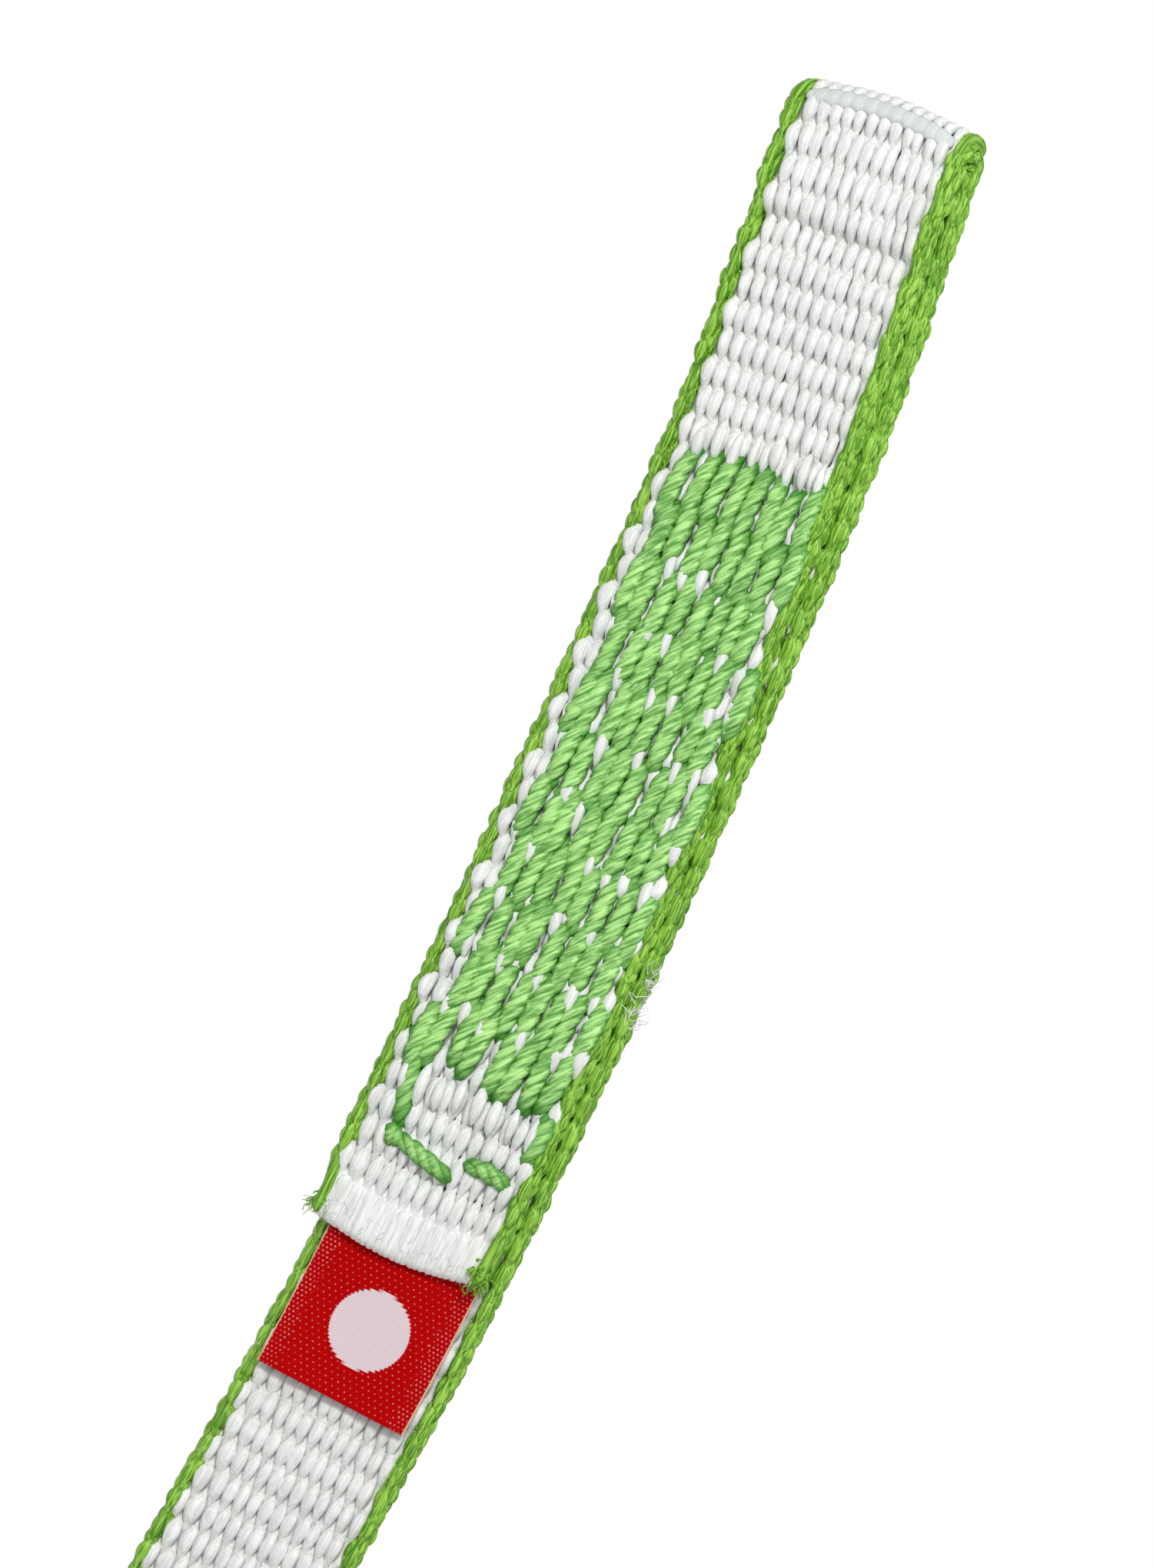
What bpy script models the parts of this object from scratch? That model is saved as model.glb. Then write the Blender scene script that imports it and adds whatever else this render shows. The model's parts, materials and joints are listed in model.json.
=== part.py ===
"""A spring loaded camming device that hangs from its sewn sling, at real size, in metres.

+Z is up. The origin is the point inside the sling's upper eye where a carabiner bears.
The sling lies across X. The stem hangs below it, with the cam head at the bottom.
X is also the way that the cam lobes open, and Y is along their axle.
"""

import math

import bmesh
import bpy
from mathutils import Matrix, Vector

# Clearances
GAP = 0.0003
WELD = 0.00001

# Sling: the webbing and its two sewn eyes
WEBBING_WIDTH = 0.0130
WEBBING_THICKNESS = 0.0019
PLY_GAP = 0.0004
PLY_SHIFT = 0.0006
SLING_REACH = 0.1680
SLING_BOW = 1.175
BOW_STARTS_Z = -0.1120
EYE_FOLD_RADIUS = 0.0026
EYE_BULGE = 0.0014
CLIP_TACK_TOP_Z = -0.0229
CLIP_TACK_END_Z = -0.0683
FRONT_PLY_END_Z = -0.0793
LOOP_TACK_TOP_Z = -0.1200
LOOP_TACK_END_Z = -0.1500
BACK_PLY_END_Z = -0.1140
STITCH_WIDTH = 0.0100
STITCH_THICKNESS = 0.0008
LABEL_WIDTH = 0.0109
LABEL_THICKNESS = 0.0004
LABEL_END_Z = -0.0899
LINE_STEP = 0.0055
FOLD_POINTS = 12

# Stem: one cable bent double, its sleeve and the thumb loop
STEM_LENGTH = 0.1340
CABLE_DIAMETER = 0.0026
CABLE_LEG_GAP = 0.0005
SLEEVE_WALL = 0.00085
SLEEVE_END_H = 0.0880
COLLAR_LENGTH = 0.0080
COLLAR_WALL = 0.0014
LOOP_COVER_WALL = 0.0010
LOOP_HALF_WIDTH = 0.0145
LOOP_CORNER_RADIUS = 0.0070
LOOP_FLARE = 0.0120
LOOP_POINTS = 14

# Head: terminal, axle, lobes and springs
TERMINAL_FACE_WALL = 0.0020
TERMINAL_SIDE_WALL = 0.00185
TERMINAL_HUB_WALL = 0.0029
TERMINAL_END_H = 0.0220
CABLE_SEAT_H = 0.0070
AXLE_RADIUS = 0.0030
AXLE_HEAD_LIP = 0.0016
AXLE_HEAD_LENGTH = 0.0012
WASHER_WALL = 0.0029
WASHER_THICKNESS = 0.0010
EXPANDED_WIDTH = 0.0420
CAM_ANGLE = math.radians(13.75)
LOBE_SWING = math.radians(88)
LOBE_THICKNESS = 0.0055
LOBE_SIDE_GAP = 0.0004
LOBE_HUB_WALL = 0.0047
LOBE_SPIRAL_FROM = math.radians(-95)
LOBE_SPIRAL_TO = math.radians(18)
LOBE_HUB_FROM = math.radians(70)
LOBE_HUB_TO = math.radians(215)
TOOTH_COUNT = 22
TOOTH_DEPTH = 0.0005
TOOTH_SHARE = 0.62
WIRE_SEAT_RADIUS = 0.0135
WIRE_SEAT_ANGLE = math.radians(-15)
LIGHTENING_HOLE_RADIUS = 0.0024
LIGHTENING_HOLE_AT = (0.0113, math.radians(-58))
SPRING_GAP = 0.0060
SPRING_WIRE_DIAMETER = 0.0008
SPRING_COIL_CLEARANCE = 0.0005
SPRING_SIDE_CLEARANCE = 0.00035
SPRING_LEG_RADIUS = 0.0086
SPRING_LEG_ANGLE = math.radians(-38)
SPRING_LEG_DEPTH = 0.0022
SPRING_FULL_TURNS = 3
SPRING_POINTS_A_TURN = 10
SPACER_WALL = 0.0010

# Trigger: the bar, its stop and the wires
TRIGGER_TOP_H = 0.0600
TRIGGER_FACE_WALL = 0.0022
TRIGGER_HALF_SPAN = 0.0240
TRIGGER_WING_HEIGHT = 0.0095
TRIGGER_FINGER_DEPTH = 0.0032
TRIGGER_TIP_RADIUS = 0.0030
TRIGGER_BARREL_WALL = 0.0025
TRIGGER_BARREL_ABOVE = 0.0020
TRIGGER_BARREL_BELOW = 0.0020
TRIGGER_EDGE = 0.0008
WIRE_DIAMETER = 0.0012
WIRE_ANCHOR_X = 0.0095
WIRE_ANCHOR_Y = 0.0042
WIRE_BEND_RADIUS = 0.0009
WIRE_LOBE_OFFSET = 0.0010
WIRE_KNEE_RUN = 0.0145
WIRE_END_INSET = 0.0005
WIRE_PLAY = 0.00035
WIRE_HOLE_PLAY = 0.00075
WIRE_TAIL = 0.0050
FERRULE_WALL = 0.0009
FERRULE_LENGTH = 0.0040
FERRULE_LIFT = 0.0006
STOP_LENGTH = 0.0040
STOP_WALL = 0.0017

# Facets of round shapes
ROUND_STEPS = 24
SMALL_ROUND_STEPS = 12
TUBE_RESOLUTION = 2

# Places that follow from the sizes above
PLY_Y = (WEBBING_THICKNESS + PLY_GAP) / 2
STEM_X = SLING_BOW / 2 * BOW_STARTS_Z**2
CABLE_LEG_X = (CABLE_DIAMETER + CABLE_LEG_GAP) / 2
SLEEVE_INNER_RADIUS = CABLE_LEG_X + CABLE_DIAMETER / 2 + GAP
SLEEVE_RADIUS = SLEEVE_INNER_RADIUS + SLEEVE_WALL
COVER_INNER_RADIUS = CABLE_DIAMETER / 2 + GAP
COVER_RADIUS = COVER_INNER_RADIUS + LOOP_COVER_WALL
LOOP_EYE_RADIUS = COVER_RADIUS + GAP + WEBBING_THICKNESS / 2
LOOP_BAR_Z = -SLING_REACH + COVER_RADIUS + GAP
AXLE_Z = LOOP_BAR_Z - STEM_LENGTH
AXLE_BORE_RADIUS = AXLE_RADIUS + GAP
AXLE_HEAD_RADIUS = AXLE_RADIUS + AXLE_HEAD_LIP
SPACER_RADIUS = AXLE_BORE_RADIUS + SPACER_WALL
SPRING_RADIUS = SPACER_RADIUS + SPRING_COIL_CLEARANCE + SPRING_WIRE_DIAMETER / 2
LOBE_HUB_RADIUS = AXLE_BORE_RADIUS + LOBE_HUB_WALL
TERMINAL_HUB_RADIUS = AXLE_BORE_RADIUS + TERMINAL_HUB_WALL
TERMINAL_THICKNESS = 2 * (COVER_INNER_RADIUS + TERMINAL_FACE_WALL)
TERMINAL_NECK_HALF_WIDTH = CABLE_LEG_X + COVER_INNER_RADIUS + TERMINAL_SIDE_WALL
TRIGGER_BORE_RADIUS = SLEEVE_RADIUS + GAP
TRIGGER_BARREL_RADIUS = TRIGGER_BORE_RADIUS + TRIGGER_BARREL_WALL
TRIGGER_THICKNESS = 2 * (TRIGGER_BORE_RADIUS + TRIGGER_FACE_WALL)
INNER_LOBE_Y = TERMINAL_THICKNESS / 2 + LOBE_SIDE_GAP + LOBE_THICKNESS / 2
OUTER_LOBE_Y = INNER_LOBE_Y + LOBE_THICKNESS + SPRING_GAP
SPRING_Y = (INNER_LOBE_Y + OUTER_LOBE_Y) / 2
WASHER_Y = OUTER_LOBE_Y + LOBE_THICKNESS / 2 + GAP + WASHER_THICKNESS / 2
AXLE_SHAFT_END_Y = WASHER_Y + WASHER_THICKNESS / 2 + GAP
SPIRAL_START_RADIUS = EXPANDED_WIDTH / 2 / math.cos(CAM_ANGLE) / math.exp(CAM_ANGLE * math.tan(CAM_ANGLE))

GREEN = (0.16, 0.42, 0.045)
WHITE = (0.82, 0.83, 0.81)
THREAD_GREEN = (0.21, 0.52, 0.13)
RED = (0.48, 0.004, 0.006)
STEEL = (0.56, 0.57, 0.58)
ALUMINIUM = (0.72, 0.73, 0.74)
BLACK = (0.025, 0.026, 0.028)


def polar(radius, angle):
    """A point of the plane, from its radius and angle."""
    return Vector((radius * math.cos(angle), radius * math.sin(angle)))


def smooth_step(share):
    """A rise from 0 to 1 that starts and ends level."""
    share = min(1.0, max(0.0, share))
    return share * share * (3 - 2 * share)


def between(first, last, share):
    """The number that lies this share of the way from first to last."""
    return first + (last - first) * share


def spiral_radius(angle):
    """The lobe's radius, which grows at the same slope all the way round."""
    return SPIRAL_START_RADIUS * math.exp(angle * math.tan(CAM_ANGLE))


def wire_seat(swing):
    """Where a lobe that has turned by this angle holds its trigger wire, from the axle."""
    return polar(WIRE_SEAT_RADIUS, WIRE_SEAT_ANGLE + swing)


def trigger_travel():
    """How far the trigger slides while the lobes fold, with each wire at a fixed length."""
    rest = Vector((WIRE_ANCHOR_X, TRIGGER_TOP_H)) - wire_seat(0)
    folded_x = WIRE_ANCHOR_X - wire_seat(LOBE_SWING).x
    folded_h = math.sqrt(rest.length_squared - folded_x**2)
    return folded_h - (TRIGGER_TOP_H - wire_seat(LOBE_SWING).y)


def wire_tilt():
    """How far each trigger wire swings about its anchor while the lobes fold."""
    rest = wire_seat(0).x - WIRE_ANCHOR_X
    folded = wire_seat(LOBE_SWING).x - WIRE_ANCHOR_X
    length = (Vector((WIRE_ANCHOR_X, TRIGGER_TOP_H)) - wire_seat(0)).length
    return math.asin(rest / length) - math.asin(folded / length)


def wire_in_lobe(share):
    """The wire's end as the lobe sees it, part of the way through the trigger's travel."""
    length = (Vector((WIRE_ANCHOR_X, TRIGGER_TOP_H)) - wire_seat(0)).length
    angle = math.asin((wire_seat(0).x - WIRE_ANCHOR_X) / length) - share * wire_tilt()
    end_x = WIRE_ANCHOR_X + length * math.sin(angle)
    end_h = TRIGGER_TOP_H + share * trigger_travel() - length * math.cos(angle)
    turned_back = -WIRE_SEAT_ANGLE - share * LOBE_SWING
    return Matrix.Rotation(turned_back, 2) @ Vector((end_x, end_h))


def clear_scene():
    """Removes every object that the scene starts with."""
    for obj in list(bpy.data.objects):
        bpy.data.objects.remove(obj)


def new_collection(name):
    made = bpy.data.collections.new(name)
    bpy.context.scene.collection.children.link(made)
    return made


def new_material(name, colour, roughness, metallic=0.0):
    made = bpy.data.materials.new(name)
    made.use_nodes = True
    shader = made.node_tree.nodes["Principled BSDF"]
    shader.inputs["Base Color"].default_value = (*colour, 1.0)
    shader.inputs["Roughness"].default_value = roughness
    shader.inputs["Metallic"].default_value = metallic
    return made


def place(name, data, material, parent=None, at=(0, 0, 0), turn=(0, 0, 0), into=None):
    """Makes an object of this data, with its material, under its parent."""
    obj = bpy.data.objects.new(name, data)
    (into or PARTS).objects.link(obj)
    obj.parent = parent
    obj.location = at
    obj.rotation_euler = turn
    if material:
        data.materials.append(material)
    return obj


def poly_spline(curve, points, cyclic=False):
    spline = curve.splines.new("POLY")
    spline.points.add(len(points) - 1)
    for point, co in zip(spline.points, points):
        point.co = (*co, 0.0, 1.0) if len(co) == 2 else (*co, 1.0)
    spline.use_cyclic_u = cyclic
    return spline


def tube(name, points, radius, material, parent, at=(0, 0, 0)):
    """A round bar along a line of points."""
    curve = bpy.data.curves.new(name, "CURVE")
    curve.dimensions = "3D"
    curve.bevel_depth = radius
    curve.bevel_resolution = TUBE_RESOLUTION
    curve.use_fill_caps = True
    poly_spline(curve, points)
    return place(name, curve, material, parent, at)


def plate(name, outlines, thickness, material, parent, at=(0, 0, 0)):
    """A flat plate across Y. The first outline is its edge, and the others are holes through it."""
    curve = bpy.data.curves.new(name, "CURVE")
    curve.dimensions = "2D"
    curve.fill_mode = "BOTH"
    curve.extrude = thickness / 2
    for outline in outlines:
        poly_spline(curve, outline, cyclic=True)
    return place(name, curve, material, parent, at, (math.pi / 2, 0, 0))


def as_mesh(curve_object):
    """The same piece as a mesh with its caps welded on, so that it can be cut."""
    graph = bpy.context.evaluated_depsgraph_get()
    mesh = bpy.data.meshes.new_from_object(curve_object.evaluated_get(graph))
    welding = bmesh.new()
    welding.from_mesh(mesh)
    bmesh.ops.remove_doubles(welding, verts=welding.verts, dist=WELD)
    welding.to_mesh(mesh)
    welding.free()
    name = curve_object.name
    curve_object.name = name + "_outline"
    solid = place(name, mesh, None, curve_object.parent)
    solid.location = curve_object.location
    solid.rotation_euler = curve_object.rotation_euler
    bpy.data.objects.remove(curve_object)
    return solid


def turned(name, profile, material, parent, at=(0, 0, 0), turn=(0, 0, 0), closed=True, steps=ROUND_STEPS):
    """A turned piece. The profile holds (radius, height) pairs and runs down its outer side."""
    mesh = bpy.data.meshes.new(name)
    count = len(profile)
    edges = [(i, (i + 1) % count) for i in range(count if closed else count - 1)]
    mesh.from_pydata([(radius, 0, height) for radius, height in profile], edges, [])
    obj = place(name, mesh, material, parent, at, turn)
    screw = obj.modifiers.new("turn", "SCREW")
    screw.steps = screw.render_steps = steps
    screw.use_merge_vertices = True
    screw.merge_threshold = WELD
    screw.use_smooth_shade = False
    return obj


def ring(name, inner, outer, length, material, parent, at, turn=(0, 0, 0), steps=ROUND_STEPS):
    """A plain ring or short tube, centred on its place."""
    half = length / 2
    profile = [(inner, half), (outer, half), (outer, -half), (inner, -half)]
    return turned(name, profile, material, parent, at, turn, steps=steps)


def cutter(name, radius, length, parent, at, turn=(0, 0, 0), steps=ROUND_STEPS):
    """A round bar that is only there to cut a hole."""
    mesh = bpy.data.meshes.new(name)
    shape = bmesh.new()
    bmesh.ops.create_cone(
        shape, cap_ends=True, segments=steps, radius1=radius, radius2=radius, depth=length
    )
    shape.to_mesh(mesh)
    shape.free()
    obj = place(name, mesh, None, parent, at, turn, CUTTERS)
    obj.hide_render = True
    obj.display_type = "WIRE"
    return obj


def cut(obj, other):
    boolean = obj.modifiers.new("cut " + other.name, "BOOLEAN")
    boolean.operation = "DIFFERENCE"
    boolean.object = other


def circle(radius, centre=(0, 0), steps=ROUND_STEPS):
    centre = Vector(centre)
    return [centre + polar(radius, 2 * math.pi * i / steps) for i in range(steps)]


def arc(radius, start, end, steps, centre=(0, 0)):
    """Points round part of a circle, both ends included."""
    centre = Vector(centre)
    return [centre + polar(radius, between(start, end, i / steps)) for i in range(steps + 1)]


def bowed_x(z):
    """The middle of the webbing, which bows gently to one side towards the upper eye."""
    return STEM_X - SLING_BOW / 2 * max(0.0, z - BOW_STARTS_Z) ** 2


def across_webbing(z):
    """The direction across the webbing at this height."""
    lean = SLING_BOW * max(0.0, z - BOW_STARTS_Z)
    return Vector((math.cos(lean), 0, math.sin(lean)))


def standing_y(z):
    """The ply that carries the load: behind the upper tail, and in front of the lower one."""
    return between(-PLY_Y, PLY_Y, smooth_step((z - BACK_PLY_END_Z) / (FRONT_PLY_END_Z - BACK_PLY_END_Z)))


def standing_shift(z):
    """How far the standing ply lies to the right of the middle."""
    below = smooth_step((z - BACK_PLY_END_Z) / (FRONT_PLY_END_Z - BACK_PLY_END_Z))
    above = smooth_step(z / CLIP_TACK_TOP_Z)
    return PLY_SHIFT * min(below, above)


def levels(first, last, step=LINE_STEP):
    """Heights from first up to, but not including, last, about one step apart."""
    count = max(1, math.ceil(abs(last - first) / step))
    return [between(first, last, i / count) for i in range(count)]


def clip_eye_half_gap(z):
    """Half the distance between the middles of the upper eye's two sides."""
    fold_z = WEBBING_THICKNESS / 2 - EYE_FOLD_RADIUS
    share = (z - CLIP_TACK_TOP_Z) / (fold_z - CLIP_TACK_TOP_Z)
    return between(PLY_Y, EYE_FOLD_RADIUS, smooth_step(share)) + EYE_BULGE * math.sin(math.pi * share) ** 2


def loop_eye_half_gap(z):
    """Half the distance between the middles of the lower eye's two sides."""
    share = (LOOP_TACK_END_Z - z) / (LOOP_TACK_END_Z - LOOP_BAR_Z)
    return between(PLY_Y, LOOP_EYE_RADIUS, smooth_step(share))


def sling_line():
    """The middle of the webbing from its upper tail, round both eyes, to its lower tail, as (shift, y, z)."""
    fold_z = WEBBING_THICKNESS / 2 - EYE_FOLD_RADIUS
    line = [(-PLY_SHIFT, -PLY_Y, z) for z in levels(FRONT_PLY_END_Z, CLIP_TACK_TOP_Z)]
    eye = levels(CLIP_TACK_TOP_Z, fold_z, LINE_STEP / 2)
    line += [(-standing_shift(z), -clip_eye_half_gap(z), z) for z in eye]
    line += [(0, y, fold_z + z) for y, z in arc(EYE_FOLD_RADIUS, math.pi, 0, FOLD_POINTS)]
    line += [(standing_shift(z), clip_eye_half_gap(z), z) for z in reversed(eye)]
    down = levels(CLIP_TACK_TOP_Z, LOOP_TACK_END_Z)[1:]
    line += [(standing_shift(z), standing_y(z), z) for z in down]
    eye = levels(LOOP_TACK_END_Z, LOOP_BAR_Z, LINE_STEP / 2)
    line += [(0, -loop_eye_half_gap(z), z) for z in eye]
    line += [(0, y, LOOP_BAR_Z + z) for y, z in arc(LOOP_EYE_RADIUS, math.pi, 2 * math.pi, FOLD_POINTS)]
    line += [(0, loop_eye_half_gap(z), z) for z in reversed(eye)]
    line += [(0, PLY_Y, z) for z in levels(LOOP_TACK_END_Z, BACK_PLY_END_Z)[1:] + [BACK_PLY_END_Z]]
    return line


def band(name, line, width, thickness, material, parent):
    """A flat strip that follows a line of (shift, y, z) points along the sling."""
    shape = bmesh.new()
    verts = []
    for shift, y, z in line:
        middle = Vector((bowed_x(z) + shift, y, z))
        verts.append(shape.verts.new(middle - across_webbing(z) * width / 2))
    edges = [shape.edges.new(pair) for pair in zip(verts, verts[1:])]
    swept = bmesh.ops.extrude_edge_only(shape, edges=edges)
    for vert in swept["geom"]:
        if isinstance(vert, bmesh.types.BMVert):
            vert.co += across_webbing(vert.co.z) * width
    mesh = bpy.data.meshes.new(name)
    shape.to_mesh(mesh)
    shape.free()
    obj = place(name, mesh, material, parent)
    solidify = obj.modifiers.new("thickness", "SOLIDIFY")
    solidify.thickness = thickness
    solidify.offset = 0
    solidify.use_even_offset = True
    return obj


def build_sling(parent):
    """The webbing with its two eyes, the thread on both faces of each seam, and the label."""
    green_white = new_material("woven_webbing", WHITE, 0.62)
    thread = new_material("sewing_thread", THREAD_GREEN, 0.55)
    red = new_material("woven_label", RED, 0.7)
    band("sling_webbing", sling_line(), WEBBING_WIDTH, WEBBING_THICKNESS, green_white, parent)
    off_face = WEBBING_THICKNESS / 2 + GAP + STITCH_THICKNESS / 2
    seams = (
        ("clip_eye", CLIP_TACK_TOP_Z, CLIP_TACK_END_Z),
        ("loop_eye", LOOP_TACK_TOP_Z, LOOP_TACK_END_Z),
    )
    for eye, top, end in seams:
        for face, side in (("front", -1), ("back", 1)):
            line = [(0, side * (PLY_Y + off_face), z) for z in [*levels(top, end), end]]
            band(f"{eye}_stitching_{face}", line, STITCH_WIDTH, STITCH_THICKNESS, thread, parent)
    off_face = WEBBING_THICKNESS / 2 + GAP + LABEL_THICKNESS / 2
    under = FRONT_PLY_END_Z - GAP
    heights = [*levels(under, LABEL_END_Z, LINE_STEP / 2), LABEL_END_Z]
    line = [(standing_shift(z), standing_y(z) - off_face, z) for z in heights]
    band("sling_label", line, LABEL_WIDTH, LABEL_THICKNESS, red, parent)


def thumb_loop_line():
    """The right half of the thumb loop, from its throat to the middle of its bar, as (x, h)."""
    throat = SLEEVE_END_H + GAP + COLLAR_LENGTH
    corner_h = STEM_LENGTH - LOOP_CORNER_RADIUS
    start, end = Vector((CABLE_LEG_X, throat)), Vector((LOOP_HALF_WIDTH, corner_h))
    lift = Vector((0, LOOP_FLARE))
    line = []
    for i in range(LOOP_POINTS):
        t = i / LOOP_POINTS
        line.append(
            (1 - t) ** 3 * start
            + 3 * (1 - t) ** 2 * t * (start + lift)
            + 3 * (1 - t) * t**2 * (end - lift)
            + t**3 * end
        )
    centre = (LOOP_HALF_WIDTH - LOOP_CORNER_RADIUS, corner_h)
    line += arc(LOOP_CORNER_RADIUS, 0, math.pi / 2, LOOP_POINTS // 2, centre)
    return line + [Vector((0, STEM_LENGTH))]


def mirrored_path(half):
    """A line of (x, h) points and its mirror image, as one path of points in the stem's plane."""
    path = [Vector((x, 0, h)) for x, h in half]
    return path + [Vector((-p.x, 0, p.z)) for p in reversed(path[:-1])]


def build_stem(parent):
    """The cable from the terminal round the thumb loop and back, and what covers and gathers it."""
    steel = new_material("steel_cable", STEEL, 0.35, 1.0)
    black = new_material("black_plastic", BLACK, 0.45)
    metal = new_material("collar_aluminium", ALUMINIUM, 0.3, 1.0)
    loop = thumb_loop_line()
    legs = [Vector((CABLE_LEG_X, CABLE_SEAT_H))]
    tube("stem_cable", mirrored_path(legs + loop), CABLE_DIAMETER / 2, steel, parent)
    sleeve_from = TERMINAL_END_H + GAP
    sleeve_middle = (0, 0, (sleeve_from + SLEEVE_END_H) / 2)
    length = SLEEVE_END_H - sleeve_from
    ring("stem_sleeve", SLEEVE_INNER_RADIUS, SLEEVE_RADIUS, length, black, parent, sleeve_middle)
    collar_middle = (0, 0, SLEEVE_END_H + GAP + COLLAR_LENGTH / 2)
    collar_radius = SLEEVE_RADIUS + COLLAR_WALL
    ring("throat_collar", SLEEVE_INNER_RADIUS, collar_radius, COLLAR_LENGTH, metal, parent, collar_middle)
    clear = [p for p in loop if p.x > COVER_RADIUS + GAP or p.y > STEM_LENGTH - LOOP_CORNER_RADIUS]
    cover = tube("thumb_loop_cover", mirrored_path(clear), COVER_RADIUS, black, parent)
    cover.data.use_fill_caps = False
    wall = cover.modifiers.new("wall", "SOLIDIFY")
    wall.thickness = LOOP_COVER_WALL
    wall.offset = -1
    return black


def terminal_outline():
    """A hub round the axle with a straight neck above it, as (x, h)."""
    neck = TERMINAL_NECK_HALF_WIDTH
    shoulder = math.acos(neck / TERMINAL_HUB_RADIUS)
    hub = arc(TERMINAL_HUB_RADIUS, math.pi - shoulder, 2 * math.pi + shoulder, ROUND_STEPS)
    return [*hub, Vector((neck, TERMINAL_END_H)), Vector((-neck, TERMINAL_END_H))]


def build_terminal(parent):
    """The block that the axle crosses and the cable's two ends are swaged into."""
    metal = new_material("terminal_steel", STEEL, 0.3, 1.0)
    bore = circle(AXLE_BORE_RADIUS)
    block = as_mesh(
        plate("head_terminal", [terminal_outline(), bore], TERMINAL_THICKNESS, metal, parent)
    )
    depth = TERMINAL_END_H - CABLE_SEAT_H + GAP
    seat = [*arc(COVER_INNER_RADIUS, -math.pi / 2, math.pi / 2, SMALL_ROUND_STEPS // 2, (CABLE_LEG_X, 0))]
    seat += [Vector((-x, -y)) for x, y in seat]
    curve = bpy.data.curves.new("cable_seat", "CURVE")
    curve.dimensions = "2D"
    curve.fill_mode = "BOTH"
    curve.extrude = depth
    poly_spline(curve, seat, cyclic=True)
    slot = as_mesh(place("cable_seat", curve, None, parent, (0, 0, TERMINAL_END_H)))
    PARTS.objects.unlink(slot)
    CUTTERS.objects.link(slot)
    slot.hide_render = True
    slot.display_type = "WIRE"
    cut(block, slot)


def build_axle(parent):
    """The axle with its two peened heads, the washers under them and the spacers inside the springs."""
    steel = new_material("axle_steel", STEEL, 0.25, 1.0)
    along_y = (-math.pi / 2, 0, 0)
    end = AXLE_SHAFT_END_Y + AXLE_HEAD_LENGTH
    half = [(0, end), (AXLE_HEAD_RADIUS, end), (AXLE_HEAD_RADIUS, AXLE_SHAFT_END_Y)]
    half.append((AXLE_RADIUS, AXLE_SHAFT_END_Y))
    profile = half + [(radius, -height) for radius, height in reversed(half)]
    turned("axle", profile, steel, parent, turn=along_y, closed=False)
    bore = AXLE_BORE_RADIUS
    washer_radius = bore + WASHER_WALL
    spacer_length = SPRING_GAP - 2 * GAP
    for side, name in ((-1, "front"), (1, "rear")):
        at = (0, side * WASHER_Y, 0)
        ring(f"{name}_washer", bore, washer_radius, WASHER_THICKNESS, steel, parent, at, along_y)
        at = (0, side * SPRING_Y, 0)
        ring(f"{name}_spacer", bore, SPACER_RADIUS, spacer_length, steel, parent, at, along_y)


def lobe_outline():
    """A lobe that opens towards +X: a toothed spiral, then straight edges to a round hub."""
    outline = []
    pitch = (LOBE_SPIRAL_TO - LOBE_SPIRAL_FROM) / TOOTH_COUNT
    for tooth in range(TOOTH_COUNT):
        start = LOBE_SPIRAL_FROM + tooth * pitch
        crest_end = start + pitch * TOOTH_SHARE
        slope = pitch * (1 - TOOTH_SHARE) / 3
        outline += [polar(spiral_radius(start), start), polar(spiral_radius(crest_end), crest_end)]
        for angle in (crest_end + slope, crest_end + 2 * slope):
            outline.append(polar(spiral_radius(angle) - TOOTH_DEPTH, angle))
    outline.append(polar(spiral_radius(LOBE_SPIRAL_TO), LOBE_SPIRAL_TO))
    return outline + arc(LOBE_HUB_RADIUS, LOBE_HUB_FROM, LOBE_HUB_TO, SMALL_ROUND_STEPS)


def wire_window():
    """The slot that the wire's hooked end moves in: as long and wide as its path, with play all round."""
    path = [wire_in_lobe(i / ROUND_STEPS) for i in range(ROUND_STEPS + 1)]
    play = WIRE_DIAMETER / 2 + WIRE_PLAY
    half_width = max(abs(p.y) for p in path) + play
    inner = min(p.x for p in path) - play + half_width
    outer = max(p.x for p in path) + play - half_width
    quarter = math.pi / 2
    slot = arc(half_width, -quarter, quarter, SMALL_ROUND_STEPS // 2, (outer, 0))
    slot += arc(half_width, quarter, 3 * quarter, SMALL_ROUND_STEPS // 2, (inner, 0))
    return [Matrix.Rotation(WIRE_SEAT_ANGLE, 2) @ p for p in slot]


def build_lobes(parent):
    """Four lobes: the outer pair opens towards +X, and the inner pair towards -X."""
    green = new_material("green_anodised", GREEN, 0.32, 1.0)
    outlines = [
        lobe_outline(),
        circle(AXLE_BORE_RADIUS),
        wire_window(),
        circle(LIGHTENING_HOLE_RADIUS, polar(*LIGHTENING_HOLE_AT), SMALL_ROUND_STEPS),
        circle(
            SPRING_WIRE_DIAMETER / 2 + WIRE_PLAY,
            polar(SPRING_LEG_RADIUS, SPRING_LEG_ANGLE),
            SMALL_ROUND_STEPS,
        ),
    ]
    for side, end in ((-1, "front"), (1, "rear")):
        for name, y, opens in (("outer", OUTER_LOBE_Y, 1), ("inner", INNER_LOBE_Y, -1)):
            facing = [[Vector((opens * x, h)) for x, h in outline] for outline in outlines]
            plate(f"{end}_{name}_lobe", facing, LOBE_THICKNESS, green, parent, (0, side * y, 0))


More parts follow.
